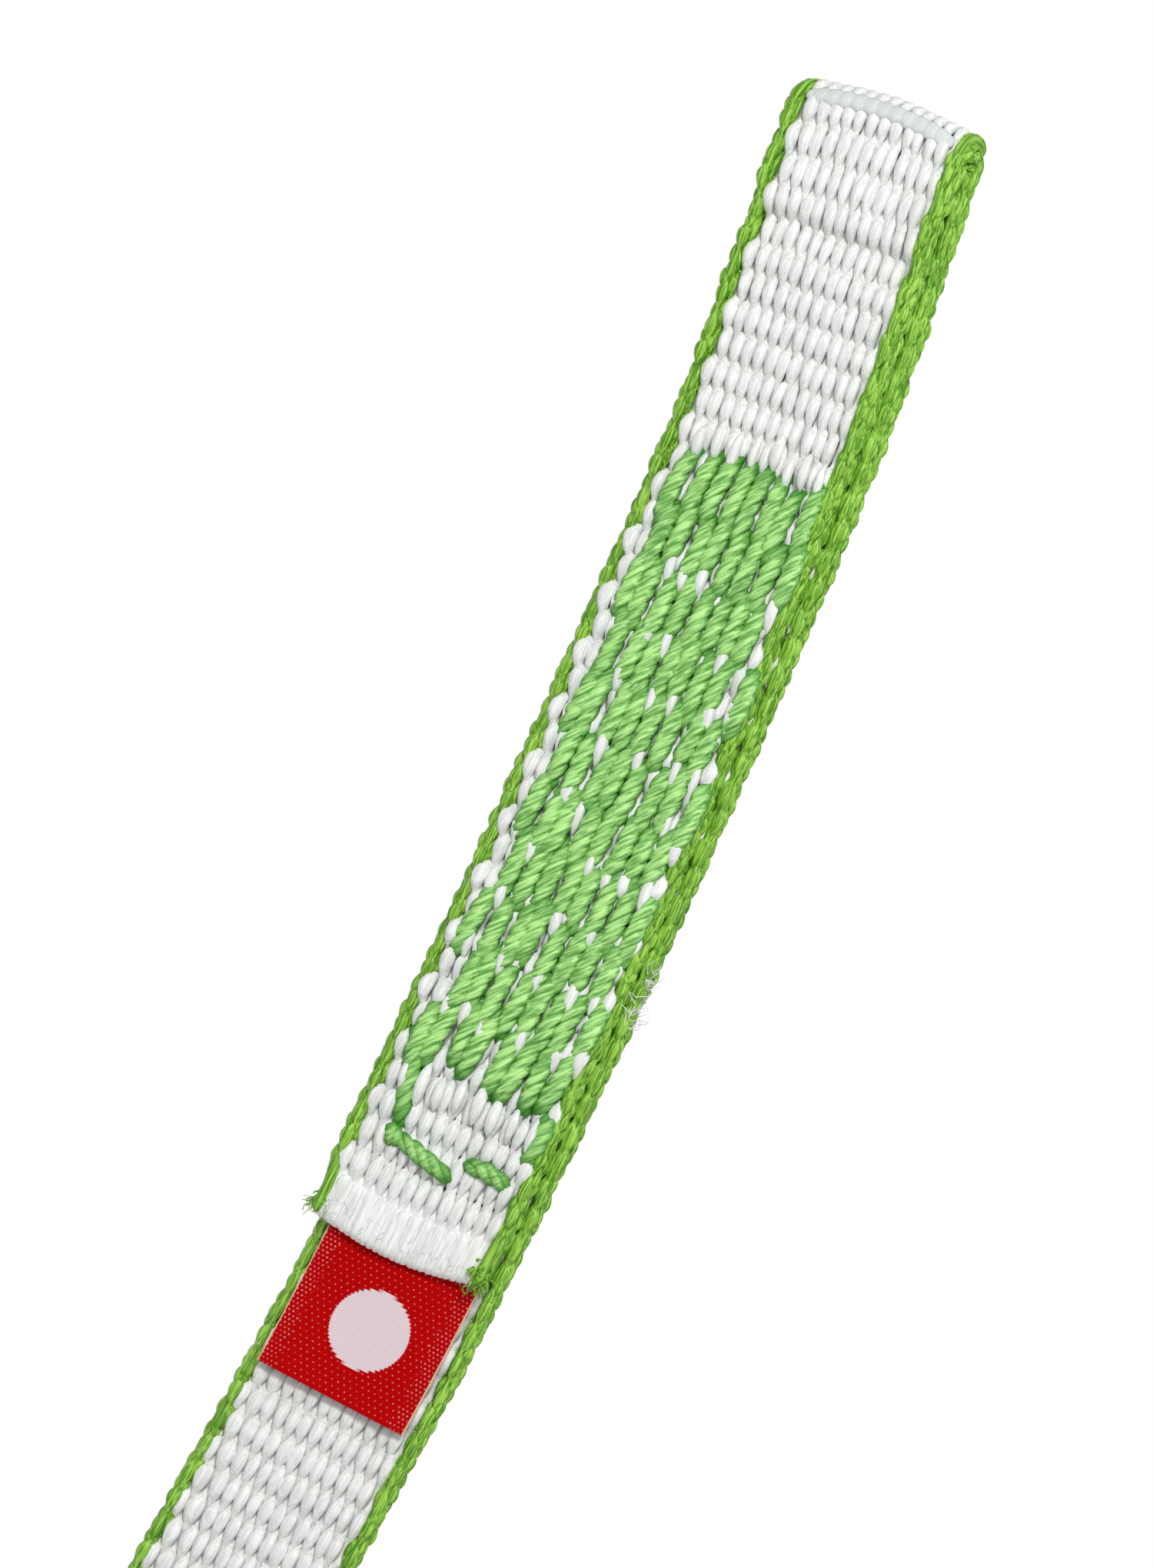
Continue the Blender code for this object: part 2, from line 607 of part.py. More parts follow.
def spring_path(side):
    """A torsion spring from the inner lobe's hole, round the spacer, to the outer lobe's hole."""
    room = SPRING_GAP / 2 - SPRING_SIDE_CLEARANCE - SPRING_WIRE_DIAMETER / 2
    first = math.pi - SPRING_LEG_ANGLE
    sweep = 2 * math.pi * SPRING_FULL_TURNS + 2 * math.pi + SPRING_LEG_ANGLE - first
    count = round(sweep / (2 * math.pi) * SPRING_POINTS_A_TURN)
    coil = []
    for i in range(count + 1):
        x, h = polar(SPRING_RADIUS, first + sweep * i / count)
        coil.append(Vector((x, side * (SPRING_Y + between(-room, room, i / count)), h)))
    legs = []
    for angle, toward in ((first, -1), (SPRING_LEG_ANGLE, 1)):
        x, h = polar(SPRING_LEG_RADIUS, angle)
        out = Vector((x, side * (SPRING_Y + toward * room), h))
        depth = SPRING_GAP / 2 + SPRING_LEG_DEPTH - room
        legs.append([out, out + Vector((0, side * toward * depth, 0))])
    return [*reversed(legs[0]), *coil, *legs[1]], coil


def least_gap(points, apart, diameter):
    """The least clear distance between turns of a coil, measured on its points."""
    found = min(
        (points[i] - points[j]).length
        for i in range(len(points))
        for j in range(i + apart, len(points))
    )
    return found - diameter


def build_springs(parent):
    """One torsion spring between the two lobes on each side."""
    steel = new_material("spring_steel", STEEL, 0.3, 1.0)
    for side, name in ((-1, "front"), (1, "rear")):
        path, coil = spring_path(side)
        tube(f"{name}_spring", path, SPRING_WIRE_DIAMETER / 2, steel, parent).data.bevel_resolution = 1
        gap = least_gap(coil, SPRING_POINTS_A_TURN * 3 // 4, SPRING_WIRE_DIAMETER)
        print(f"{name}_spring: least gap between turns {gap * 1000:.2f} mm")


def trigger_outline():
    """A barrel with two wings, hollowed below for the fingers, as (x, h)."""
    top, under = TRIGGER_TOP_H, TRIGGER_TOP_H - TRIGGER_WING_HEIGHT
    barrel, tip = TRIGGER_BARREL_RADIUS, TRIGGER_HALF_SPAN
    corner = (tip - TRIGGER_TIP_RADIUS, top - TRIGGER_TIP_RADIUS)
    right = [Vector((barrel, under - TRIGGER_BARREL_BELOW)), Vector((barrel, under))]
    for i in range(1, SMALL_ROUND_STEPS):
        share = i / SMALL_ROUND_STEPS
        hollow = TRIGGER_FINGER_DEPTH * math.sin(math.pi * share) ** 2
        right.append(Vector((between(barrel, corner[0], share), under + hollow)))
    lower = (corner[0], under + TRIGGER_TIP_RADIUS)
    right += arc(TRIGGER_TIP_RADIUS, -math.pi / 2, 0, SMALL_ROUND_STEPS // 3, lower)
    right += arc(TRIGGER_TIP_RADIUS, 0, math.pi / 2, SMALL_ROUND_STEPS // 3, corner)
    right += [Vector((barrel, top)), Vector((barrel, top + TRIGGER_BARREL_ABOVE))]
    return right + [Vector((-x, h)) for x, h in reversed(right)]


def wire_bends(opens, side, lobe_y):
    """A trigger wire's anchor, its knee above the lobe, its corner beside the lobe and its end inside it."""
    seat = wire_seat(0)
    anchor = Vector((opens * WIRE_ANCHOR_X, side * WIRE_ANCHOR_Y, TRIGGER_TOP_H))
    toward_spring = 1 if lobe_y < SPRING_Y else -1
    face = lobe_y + toward_spring * LOBE_THICKNESS / 2
    corner = Vector((opens * seat.x, side * (face + toward_spring * WIRE_LOBE_OFFSET), seat.y))
    run = Vector((anchor.x - corner.x, 0, anchor.z - corner.z)).normalized() * WIRE_KNEE_RUN
    far_face = lobe_y - toward_spring * (LOBE_THICKNESS / 2 - WIRE_END_INSET)
    return anchor, corner + run, corner, Vector((corner.x, side * far_face, corner.z))


def each_wire():
    """The four trigger wires, as (name, anchor, knee, corner, end)."""
    for side, end in ((-1, "front"), (1, "rear")):
        for name, y, opens in (("outer", OUTER_LOBE_Y, 1), ("inner", INNER_LOBE_Y, -1)):
            yield (f"{end}_{name}", *wire_bends(opens, side, y))


def rounded_corner(before, corner, after):
    """Points that round off the corner between two straight runs of wire."""
    first = corner + (before - corner).normalized() * WIRE_BEND_RADIUS
    last = corner + (after - corner).normalized() * WIRE_BEND_RADIUS
    steps = [i / 4 for i in range(5)]
    return [(1 - t) ** 2 * first + 2 * (1 - t) * t * corner + t**2 * last for t in steps]


def build_trigger(parent):
    """The bar that the fingers pull, with holes for the stem's sleeve and the four wires."""
    green = new_material("green_plastic", GREEN, 0.4)
    bar = as_mesh(plate("trigger_bar", [trigger_outline()], TRIGGER_THICKNESS, green, parent))
    bevel = bar.modifiers.new("edges", "BEVEL")
    bevel.width = TRIGGER_EDGE
    bevel.segments = 1
    bevel.limit_method = "ANGLE"
    bevel.angle_limit = math.radians(60)
    hole_radius = WIRE_DIAMETER / 2 + WIRE_HOLE_PLAY
    through = 4 * TRIGGER_WING_HEIGHT
    middle = TRIGGER_TOP_H - TRIGGER_WING_HEIGHT / 2
    cut(bar, cutter("sleeve_bore", TRIGGER_BORE_RADIUS, through, parent, (0, 0, middle)))
    for name, anchor, knee, _, _ in each_wire():
        toward = (knee - anchor).normalized()
        sideways = Matrix.Rotation(math.copysign(wire_tilt() / 2, anchor.x), 3, "Y")
        turn = (sideways @ toward).to_track_quat("Z", "Y").to_euler()
        hole = cutter(f"{name}_wire_hole", hole_radius, through, parent, anchor, turn, SMALL_ROUND_STEPS)
        cut(bar, hole)
    stop_top = TRIGGER_TOP_H - TRIGGER_WING_HEIGHT - TRIGGER_BARREL_BELOW - GAP
    inner = TRIGGER_BORE_RADIUS
    at = (0, 0, stop_top - STOP_LENGTH / 2)
    metal = new_material("stop_aluminium", ALUMINIUM, 0.3, 1.0)
    ring("trigger_stop", inner, inner + STOP_WALL, STOP_LENGTH, metal, parent, at)


def build_wires(parent):
    """Four trigger wires, each hooked into its lobe and held above the trigger by a ferrule."""
    steel = new_material("wire_steel", STEEL, 0.3, 1.0)
    metal = new_material("ferrule_copper", (0.70, 0.42, 0.26), 0.35, 1.0)
    for name, anchor, knee, corner, end in each_wire():
        up = (anchor - knee).normalized()
        top = anchor + up * WIRE_TAIL
        path = [end, *rounded_corner(end, corner, knee), *rounded_corner(corner, knee, top), top]
        tube(f"{name}_wire", [p - anchor for p in path], WIRE_DIAMETER / 2, steel, parent, anchor)
        at = anchor + up * (FERRULE_LIFT + FERRULE_LENGTH / 2)
        turn = up.to_track_quat("Z", "Y").to_euler()
        bore = WIRE_DIAMETER / 2 + GAP
        outer = bore + FERRULE_WALL
        ring(f"{name}_ferrule", bore, outer, FERRULE_LENGTH, metal, parent, at, turn, SMALL_ROUND_STEPS)


def main():
    sling = bpy.data.objects.new("sling_frame", None)
    head = bpy.data.objects.new("head_frame", None)
    for empty in (sling, head):
        PARTS.objects.link(empty)
    head.location = (STEM_X, 0, AXLE_Z)
    build_sling(sling)
    build_stem(head)
    build_terminal(head)
    build_axle(head)
    build_lobes(head)
    build_springs(head)
    build_trigger(head)
    build_wires(head)
    print(f"stem at x {STEM_X:.6f}, loop bar at z {LOOP_BAR_Z:.6f}, axle at z {AXLE_Z:.6f}")
    print(f"trigger travel {trigger_travel():.6f} m, wire tilt {math.degrees(wire_tilt()):.4f} degrees")


clear_scene()
PARTS = new_collection("camming_device")
CUTTERS = new_collection("cutters")
main()
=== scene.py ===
"""Looks for a climbing cam that hangs from its sewn sling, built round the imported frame.

The webbing is woven from separate yarns, and every stitch of its seams is a twisted thread.
Run as a script: it sets the stage, then makes each piece through its own operator.
"""

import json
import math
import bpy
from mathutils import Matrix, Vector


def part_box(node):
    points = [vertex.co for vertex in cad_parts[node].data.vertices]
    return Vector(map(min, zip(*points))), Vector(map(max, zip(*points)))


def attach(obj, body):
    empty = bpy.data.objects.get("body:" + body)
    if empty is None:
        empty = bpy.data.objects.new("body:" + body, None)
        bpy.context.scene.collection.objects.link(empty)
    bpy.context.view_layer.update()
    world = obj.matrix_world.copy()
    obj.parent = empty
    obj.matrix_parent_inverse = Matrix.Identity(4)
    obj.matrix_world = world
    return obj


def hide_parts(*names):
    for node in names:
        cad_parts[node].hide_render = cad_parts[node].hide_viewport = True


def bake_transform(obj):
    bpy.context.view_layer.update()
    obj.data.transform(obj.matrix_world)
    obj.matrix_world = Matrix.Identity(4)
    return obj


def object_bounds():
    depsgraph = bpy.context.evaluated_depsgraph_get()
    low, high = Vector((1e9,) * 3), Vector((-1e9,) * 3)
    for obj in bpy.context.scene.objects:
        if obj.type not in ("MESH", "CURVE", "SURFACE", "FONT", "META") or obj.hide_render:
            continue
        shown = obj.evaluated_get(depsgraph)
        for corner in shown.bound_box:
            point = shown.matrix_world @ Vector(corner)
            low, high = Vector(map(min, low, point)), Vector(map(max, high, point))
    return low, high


bl_info = {
    "name": "Camming device looks",
    "version": (1, 0, 0),
    "blender": (4, 5, 0),
    "location": "View3D > Sidebar > Cam",
    "description": "Woven sling, stem, trigger and lobes of a spring loaded camming device",
    "category": "Object",
}

import bmesh
import bpy
import numpy as np
from bpy.props import FloatProperty, FloatVectorProperty, IntProperty, PointerProperty
from mathutils import Matrix, Vector

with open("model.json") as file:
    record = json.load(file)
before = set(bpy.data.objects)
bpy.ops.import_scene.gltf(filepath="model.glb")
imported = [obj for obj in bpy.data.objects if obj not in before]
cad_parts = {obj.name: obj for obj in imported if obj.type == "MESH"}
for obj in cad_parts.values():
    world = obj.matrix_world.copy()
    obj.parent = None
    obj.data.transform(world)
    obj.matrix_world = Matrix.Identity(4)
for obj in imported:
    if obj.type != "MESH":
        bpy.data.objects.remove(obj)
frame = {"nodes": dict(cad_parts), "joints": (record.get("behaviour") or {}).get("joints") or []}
CAD_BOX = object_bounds()
JOINTS = {joint["name"]: joint for joint in frame["joints"]}
STEM_X, _, LOOP_BAR_Z = JOINTS["sling_swing"]["pos_m"]
AXLE_Z = JOINTS["front_outer_fold"]["pos_m"][2]

# The sling's line, as the frame has it but with its upper eye pressed flatter
THICKNESS = 0.0019
PLY_Y = 0.00088
PLY_SHIFT = 0.00042
BOW = 1.175
BOW_STARTS_Z = -0.1120
FOLD_RADIUS = 0.0016
FOLD_Z = THICKNESS / 2 - FOLD_RADIUS
FOLD_ARCH = 0.0009
ARCH_HALF = 0.0065
ARCH_OVER = 0.0060
EYE_BULGE = 0.0001
EYE_TWIST = math.radians(13)
EYE_LEAN = 0.0008
EYE_LEANS_OVER = 0.0220
TWIST_STARTS_Z = -0.0600
TWIST_ENDS_Z = -0.0200
TACK_SPREAD = 0.045
FLATTENS_OVER = 0.0080
CLIP_TACK = (-0.0229, -0.0683)
LOOP_TACK = (-0.1200, -0.1500)
FRONT_END_Z = -0.0793
BACK_END_Z = -0.1140
LOOP_EYE_RADIUS = 0.00385
LINE_STEP = 0.00025

# The stem's line, from the axle up, as the frame has it
STEM_LENGTH = LOOP_BAR_Z - AXLE_Z
CABLE_LEG_X = 0.00155
CABLE_SEAT_H = 0.0070
THROAT_H = 0.0963
LOOP_HALF_WIDTH = 0.0145
LOOP_CORNER = 0.0070
LOOP_FLARE = 0.0120
COVER_RADIUS = 0.0026

MM = 0.001


def metres(name, description, default):
    """A length that a user can change."""
    return FloatProperty(
        name=name, description=description, default=default, unit="LENGTH", precision=5
    )


def degrees(name, description, default):
    """An angle that a user can change, given in degrees."""
    return FloatProperty(
        name=name, description=description, default=math.radians(default), subtype="ANGLE"
    )


def number_of(name, description, default):
    """A count that a user can change."""
    return IntProperty(name=name, description=description, default=default)


def colour(name, description, default):
    """A colour that a user can change."""
    return FloatVectorProperty(
        name=name, description=description, default=default, subtype="COLOR", size=3
    )


class WebbingSettings(bpy.types.PropertyGroup):
    """The sling's yarns."""

    white: colour("White yarn", "Colour of the yarns in the middle", (0.88, 0.89, 0.87))
    # Painted shade: this grey colour of the ridge across the fold stands in for the shade on the
    # ridge.
    crest_painted_shade: colour("Pressed yarn", "Colour of the weft that shows at the fold", (0.66, 0.70, 0.69))
    green: colour("Green yarn", "Colour of the yarns along both edges", (0.335, 0.62, 0.077))
    green_dark: colour("Green shade", "Colour deep between the green fibres", (0.045, 0.19, 0.001))
    pitch: metres("Yarn pitch", "Distance between neighbouring white yarns", 0.00044)
    row: metres("Row", "Length of one row of the weave", 0.00203)
    white_count: number_of("White yarns", "White yarns across the webbing", 25)
    edge_count: number_of("Green yarns", "Woven green yarns along each edge", 4)


class ThreadSettings(bpy.types.PropertyGroup):
    """The sewing thread of the seams."""

    # The thread's two colours are mixed by painted shade: the darker one fills where the thread
    # lies low, as well as between its fibres.
    light: colour("Thread", "Colour of the thread's raised fibres", (0.48, 0.84, 0.28))
    dark: colour("Thread shade", "Colour between the thread's fibres", (0.05, 0.25, 0.02))
    ply_radius: metres("Ply radius", "Radius of one of the thread's three plies", 0.00038)
    ply_offset: metres("Ply offset", "Distance of each ply from the thread's middle", 0.00028)
    twist: metres("Twist", "Length of one full turn of the plies", 0.0031)
    pitch: metres("Pitch", "Distance between neighbouring strands of a bar tack", 0.00128)
    row: metres("Row", "Length of one row of strands", 0.0039)
    overlap: metres("Overlap", "How far strands of neighbouring rows lie side by side", 0.0017)
    slant: metres("Slant", "How far each strand leans over its length", 0.00035)
    reach: metres("Reach", "Half the width of a bar tack", 0.0049)
    aside: metres("Aside", "How far the upper bar tack lies towards the right edge", 0.0005)


class LabelSettings(bpy.types.PropertyGroup):
    """The small woven label."""

    ground: colour("Ground", "Colour of the cloth", (0.47, 0.0006, 0.0010))
    figure: colour("Figure", "Colour of the woven disc and dots", (0.78, 0.66, 0.69))
    width: metres("Width", "Width of the label", 0.0109)
    disc: metres("Disc", "Radius of the plain woven disc", 0.0027)


class HardwareSettings(bpy.types.PropertyGroup):
    """The metal and plastic below the sling."""

    anodised: colour("Anodised", "Colour of the lobes", (0.17, 0.44, 0.05))
    plastic: colour("Trigger", "Colour of the trigger", (0.15, 0.40, 0.045))
    steel: colour("Steel", "Colour of bare steel", (0.60, 0.61, 0.62))
    aluminium: colour("Aluminium", "Colour of bare aluminium", (0.76, 0.77, 0.78))
    copper: colour("Ferrule", "Colour of the crimped ferrules", (0.72, 0.44, 0.28))
    black: colour("Sleeve", "Colour of the sleeve and the loop's cover", (0.022, 0.023, 0.025))


class StageSettings(bpy.types.PropertyGroup):
    """The camera and the lights."""

    roll: degrees("Roll", "Lean of the picture", 28.65)
    azimuth: degrees("Azimuth", "Turn towards the right side", 10)
    height: metres("Picture height", "Height of what the picture shows", 0.10277)
    across: metres("Across", "Picture's middle along its own right", -0.02095)
    up: metres("Up", "Picture's middle along its own up", -0.04223)
    distance: metres("Distance", "From the camera to the webbing", 0.80)
    floor: colour("Floor", "Colour of the floor", (0.86, 0.86, 0.86))


# Small tools that the pieces share


def smooth_step(share):
    """0 up to a share of nothing, 1 from the whole on, and a soft rise between."""
    share = np.clip(share, 0.0, 1.0)
    return share * share * (3 - 2 * share)


def between(first, last, share):
    return first + (last - first) * share


def hump(distance, half):
    """1 in the middle of a soft hump, and less and less away from it."""
    return np.exp(-((distance / half) ** 2))


def unit(vectors):
    return vectors / np.linalg.norm(vectors, axis=1)[:, None]


def smooth_noise(random, count, reach):
    """Random numbers of about unit size that change smoothly from one to the next."""
    kernel = np.hanning(2 * reach + 3)[1:-1]
    rough = random.standard_normal(count + 2 * reach)
    return np.convolve(rough, kernel / np.linalg.norm(kernel), mode="valid")[:count]


def link_piece(name, mesh, material, body, slot, replaced=()):
    """Makes a finished piece of this mesh, which moves with its body."""
    piece = bpy.data.objects.new(name, mesh)
    bpy.context.scene.collection.objects.link(piece)
    mesh.materials.clear()
    mesh.materials.append(material)
    if body:
        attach(piece, body)
    if replaced:
        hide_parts(*replaced)
    return piece


def tubes(name, paths, radius, resolution, radii=None, flat_axis=False):
    """One mesh of round bars along many lines of points, with filled ends."""
    curve = bpy.data.curves.new(name, "CURVE")
    curve.dimensions = "3D"
    curve.bevel_depth = radius
    curve.bevel_resolution = resolution
    curve.use_fill_caps = True
    if flat_axis:
        curve.twist_mode = "Z_UP"
    for index, path in enumerate(paths):
        spline = curve.splines.new("POLY")
        spline.points.add(len(path) - 1)
        places = np.ones((len(path), 4))
        places[:, :3] = path
        spline.points.foreach_set("co", places.ravel())
        if radii is not None:
            spline.points.foreach_set("radius", np.asarray(radii[index], float))
    guide = bpy.data.objects.new(name + "_guide", curve)
    bpy.context.scene.collection.objects.link(guide)
    graph = bpy.context.evaluated_depsgraph_get()
    mesh = bpy.data.meshes.new_from_object(guide.evaluated_get(graph))
    bpy.data.objects.remove(guide)
    bpy.data.curves.remove(curve)
    mesh.name = name
    mesh.shade_smooth()
    return mesh


def get_places(mesh):
    places = np.empty(len(mesh.vertices) * 3)
    mesh.vertices.foreach_get("co", places)
    return places.reshape(-1, 3)


def set_places(mesh, places):
    mesh.vertices.foreach_set("co", np.asarray(places, float).ravel())
    mesh.update()


def add_vectors(mesh, name, vectors):
    """Keeps a vector for each point of the mesh, for its material to read."""
    attribute = mesh.attributes.new(name, "FLOAT_VECTOR", "POINT")
    attribute.data.foreach_set("vector", np.asarray(vectors, np.float32).ravel())


def copy_of_node(node):
    """A bmesh copy of a CAD node with its triangles merged into whole faces."""
    shape = bmesh.new()
    shape.from_mesh(frame["nodes"][node].data)
    bmesh.ops.remove_doubles(shape, verts=shape.verts, dist=1e-6)
    bmesh.ops.dissolve_limit(
        shape,
        angle_limit=math.radians(1),
        verts=shape.verts,
        edges=shape.edges,
        use_dissolve_boundaries=False,
    )
    return shape


def mesh_of(shape, name, smooth_angle=20):
    """A mesh with smooth curves, sharp corners, and flat faces wherever a face has many sides."""
    mesh = bpy.data.meshes.new(name)
    shape.to_mesh(mesh)
    shape.free()
    mesh.shade_smooth()
    mesh.set_sharp_from_angle(angle=math.radians(smooth_angle))
    for polygon in mesh.polygons:
        polygon.use_smooth = polygon.loop_total <= 4
    return mesh


def soften_edges(shape, width, angle, segments):
    """Bevels every edge that turns by more than this angle, and marks the new faces as worn."""
    worn = shape.faces.layers.float.new("worn")
    limit = math.radians(angle)
    joined = [edge for edge in shape.edges if len(edge.link_faces) == 2]
    sharp = [edge for edge in joined if edge.calc_face_angle() > limit]
    made = bmesh.ops.bevel(
        shape, geom=sharp, offset=width, offset_type="OFFSET", affect="EDGES",
        segments=segments, profile=0.5, material=-1, clamp_overlap=True,
    )
    for face in made["faces"]:
        face[worn] = 1.0


def finish_node(node, material, body, slot, width, angle=38, segments=2, smooth_angle=20):
    """Makes a piece of a CAD node, with softened edges and this material."""
    shape = copy_of_node(node)
    soften_edges(shape, width, angle, segments)
    mesh = mesh_of(shape, node, smooth_angle)
    link_piece(f"{node}_finished", mesh, material, body, slot, [node])


# Materials


class Shader:
    """A Principled material and short ways to add nodes to it."""

    def __init__(self, name, roughness, metallic=0.0):
        self.material = bpy.data.materials.new(name)
        self.material.use_nodes = True
        self.tree = self.material.node_tree
        self.main = self.tree.nodes["Principled BSDF"]
        self.main.inputs["Roughness"].default_value = roughness
        self.main.inputs["Metallic"].default_value = metallic

    def add(self, kind, settings=None, **inputs):
        node = self.tree.nodes.new(kind)
        for key, value in (settings or {}).items():
            setattr(node, key, value)
        for key, value in inputs.items():
            self.feed(node.inputs[key.replace("_", " ")], value)
        return node

    def feed(self, socket, value):
        if isinstance(value, bpy.types.NodeSocket):
            self.tree.links.new(value, socket)
        elif hasattr(value, "__len__") and len(value) == 3 and socket.type == "RGBA":
            socket.default_value = (*value, 1.0)
        else:
            socket.default_value = value

    def math(self, operation, first, second=0.0):
        node = self.add("ShaderNodeMath", {"operation": operation})
        self.feed(node.inputs[0], first)
        self.feed(node.inputs[1], second)
        return node.outputs[0]

    def length(self, across, along):
        squares = [self.math("POWER", side, 2) for side in (across, along)]
        return self.math("SQRT", self.math("ADD", *squares))

    def attribute(self, name, output):
        """What the mesh keeps under this name."""
        return self.add("ShaderNodeAttribute", {"attribute_name": name}).outputs[output]

    def coordinates(self, attribute=None, scale=(1, 1, 1)):
        """The piece's own coordinates, or an attribute of its points, stretched."""
        if attribute:
            source = self.attribute(attribute, "Vector")
        else:
            source = self.add("ShaderNodeTexCoord").outputs["Object"]
        return self.add("ShaderNodeMapping", Vector=source, Scale=scale).outputs["Vector"]

    def noise(self, vector, scale, detail):
        node = self.add(
            "ShaderNodeTexNoise", Vector=vector, Scale=scale, Detail=detail, Roughness=0.55
        )
        return node.outputs["Fac"]

    def ramp(self, value, low, high, first=0.0, last=1.0):
        node = self.add(
            "ShaderNodeMapRange", {"clamp": True},
            Value=value, From_Min=low, From_Max=high, To_Min=first, To_Max=last,
        )
        return node.outputs["Result"]

    def mix(self, share, first, second):
        node = self.add("ShaderNodeMix", {"data_type": "RGBA"})
        self.feed(node.inputs[0], share)
        self.feed(node.inputs[6], first)
        self.feed(node.inputs[7], second)
        return node.outputs[2]

    def colour(self, value):
        self.feed(self.main.inputs["Base Color"], value)

    def roughness(self, value):
        self.feed(self.main.inputs["Roughness"], value)

    def bump(self, height, strength, distance):
        node = self.add("ShaderNodeBump", Height=height, Strength=strength, Distance=distance)
        self.feed(self.main.inputs["Normal"], node.outputs["Normal"])


def yarn_material(name, light, dark, contrast, patchy=0.3):
    """Fine parallel fibres along each yarn, in two shades."""
    shader = Shader(name, 0.55)
    shader.main.inputs["Specular IOR Level"].default_value = 0.3
    fibres = shader.noise(shader.coordinates("weave", (260, 8000, 8000)), 1.0, 2.0)
    patches = shader.noise(shader.coordinates("weave", (300, 1500, 300)), 1.0, 2.0)
    streaks = shader.ramp(fibres, 0.38, 0.62)
    shade = shader.math("ADD", streaks, shader.ramp(patches, 0.3, 0.7, -patchy, patchy))
    shader.colour(shader.mix(shader.ramp(shade, 0.0, 1.0, 1.0 - contrast, 1.0), dark, light))
    shader.roughness(shader.ramp(fibres, 0.3, 0.7, 0.62, 0.48))
    shader.bump(fibres, 0.6, 0.00007)
    return shader.material


def thread_material(settings):
    """Thick thread with painted light and shade: bright where its fibres stand up, and dark where
    it lies low between its plies and in the weave.
    """
    shader = Shader("sewing_thread", 0.5)
    shader.main.inputs["Specular IOR Level"].default_value = 0.4
    fibres = shader.noise(shader.coordinates("thread", (500, 5500, 3000)), 1.0, 2.0)
    # Painted shade: the lower a point of the thread lies, the darker its colour.
    raised = shader.ramp(shader.attribute("depth", "Fac"), 0.28, 0.88)
    lit = shader.math("MULTIPLY", raised, shader.ramp(fibres, 0.38, 0.60, 0.18, 1.0))
    shader.colour(shader.mix(lit, settings.dark, settings.light))
    shader.bump(fibres, 0.7, 0.00009)
    return shader.material


# How far apart the label's dots and threads lie, and its paler and darker shades
DOT_ROW = 0.00040
DOT_COLUMN = 0.00046
DOTS_CROWD = (0.00470, 0.00471)
TOOTH = 0.00109
TOOTH_DEPTH = 0.0006
LABEL_ASIDE = 0.0002
LABEL_PICK = 0.00022
LABEL_END = 0.00030
DISC_BLUR = 0.00004
SELVAGE_WITHIN = (0.00012, 0.00006)
SELVAGE = (0.80, 0.52, 0.36)
GROUND_SHADE = (0.33, 0.0003, 0.0005)
FIGURE_SHADE = (0.60, 0.44, 0.48)


def label_dots(shader, place, across, along, aside):
    """How far a place of the label lies in a pale dot. Dots crowd along both sides, in teeth."""
    tooth = shader.math("FRACT", shader.math("DIVIDE", along, TOOTH))
    reach = shader.math("ADD", aside, shader.math("MULTIPLY", tooth, TOOTH_DEPTH))
    crowd = shader.ramp(reach, *DOTS_CROWD)
    row = shader.math("DIVIDE", along, DOT_ROW)
    row = shader.math("MULTIPLY", row, shader.ramp(crowd, 0, 1, 1.0, 1.35))
    odd = shader.math("MODULO", shader.math("ABSOLUTE", shader.math("FLOOR", row)), 2.0)
    column = shader.math("DIVIDE", across, DOT_COLUMN)
    column = shader.math("MULTIPLY", column, shader.ramp(crowd, 0, 1, 1.0, 1.5))
    column = shader.math("ADD", column, shader.math("MULTIPLY", odd, 0.5))
    dx = shader.math("SUBTRACT", shader.math("FRACT", column), 0.5)
    dy = shader.math("SUBTRACT", shader.math("FRACT", row), 0.5)
    radius = shader.ramp(crowd, 0, 1, 0.10, 0.20)
    outside = shader.math("SUBTRACT", shader.length(dx, dy), radius)
    dots = shader.ramp(outside, -0.06, 0.06, 1.0, 0.0)
    faint = shader.ramp(shader.noise(place, 900, 1.0), 0.35, 0.6, 0.12, 0.42)
    return shader.math("MULTIPLY", dots, faint)


def label_material(settings):
    """Fine woven cloth with pale dots, a plain pale disc and a paler line at each side."""
    shader = Shader("woven_label", 0.7)
    shader.main.inputs["Specular IOR Level"].default_value = 0.03
    place = shader.attribute("cloth", "Vector")
    split = shader.add("ShaderNodeSeparateXYZ", Vector=place)
    across, along = split.outputs["X"], split.outputs["Y"]
    aside = shader.math("ABSOLUTE", shader.math("ADD", across, LABEL_ASIDE))
    dots = label_dots(shader, place, across, along, aside)
    step = shader.math("FLOOR", shader.math("DIVIDE", along, LABEL_PICK))
    step = shader.math("MULTIPLY", step, LABEL_PICK)
    outside = shader.math("SUBTRACT", shader.length(across, step), settings.disc)
    disc = shader.ramp(outside, -DISC_BLUR, DISC_BLUR, 1.0, 0.0)
    ribs = shader.math("SINE", shader.math("MULTIPLY", along, 2 * math.pi / LABEL_PICK))
    cross = shader.math("SINE", shader.math("MULTIPLY", across, 2 * math.pi / LABEL_END))
    weave = shader.math("MULTIPLY", ribs, cross)
    ground = shader.mix(shader.ramp(weave, -1, 1, 0.0, 0.35), settings.ground, GROUND_SHADE)
    spotted = shader.mix(dots, ground, settings.figure)
    shaded = shader.mix(shader.ramp(weave, -1, 1, 0.0, 0.5), settings.figure, FIGURE_SHADE)
    selvage = shader.ramp(aside, *(settings.width / 2 - within for within in SELVAGE_WITHIN))
    shader.colour(shader.mix(selvage, shader.mix(disc, spotted, shaded), SELVAGE))
    shader.bump(shader.math("ADD", weave, shader.math("MULTIPLY", dots, 2.0)), 0.35, 0.00006)
    return shader.material


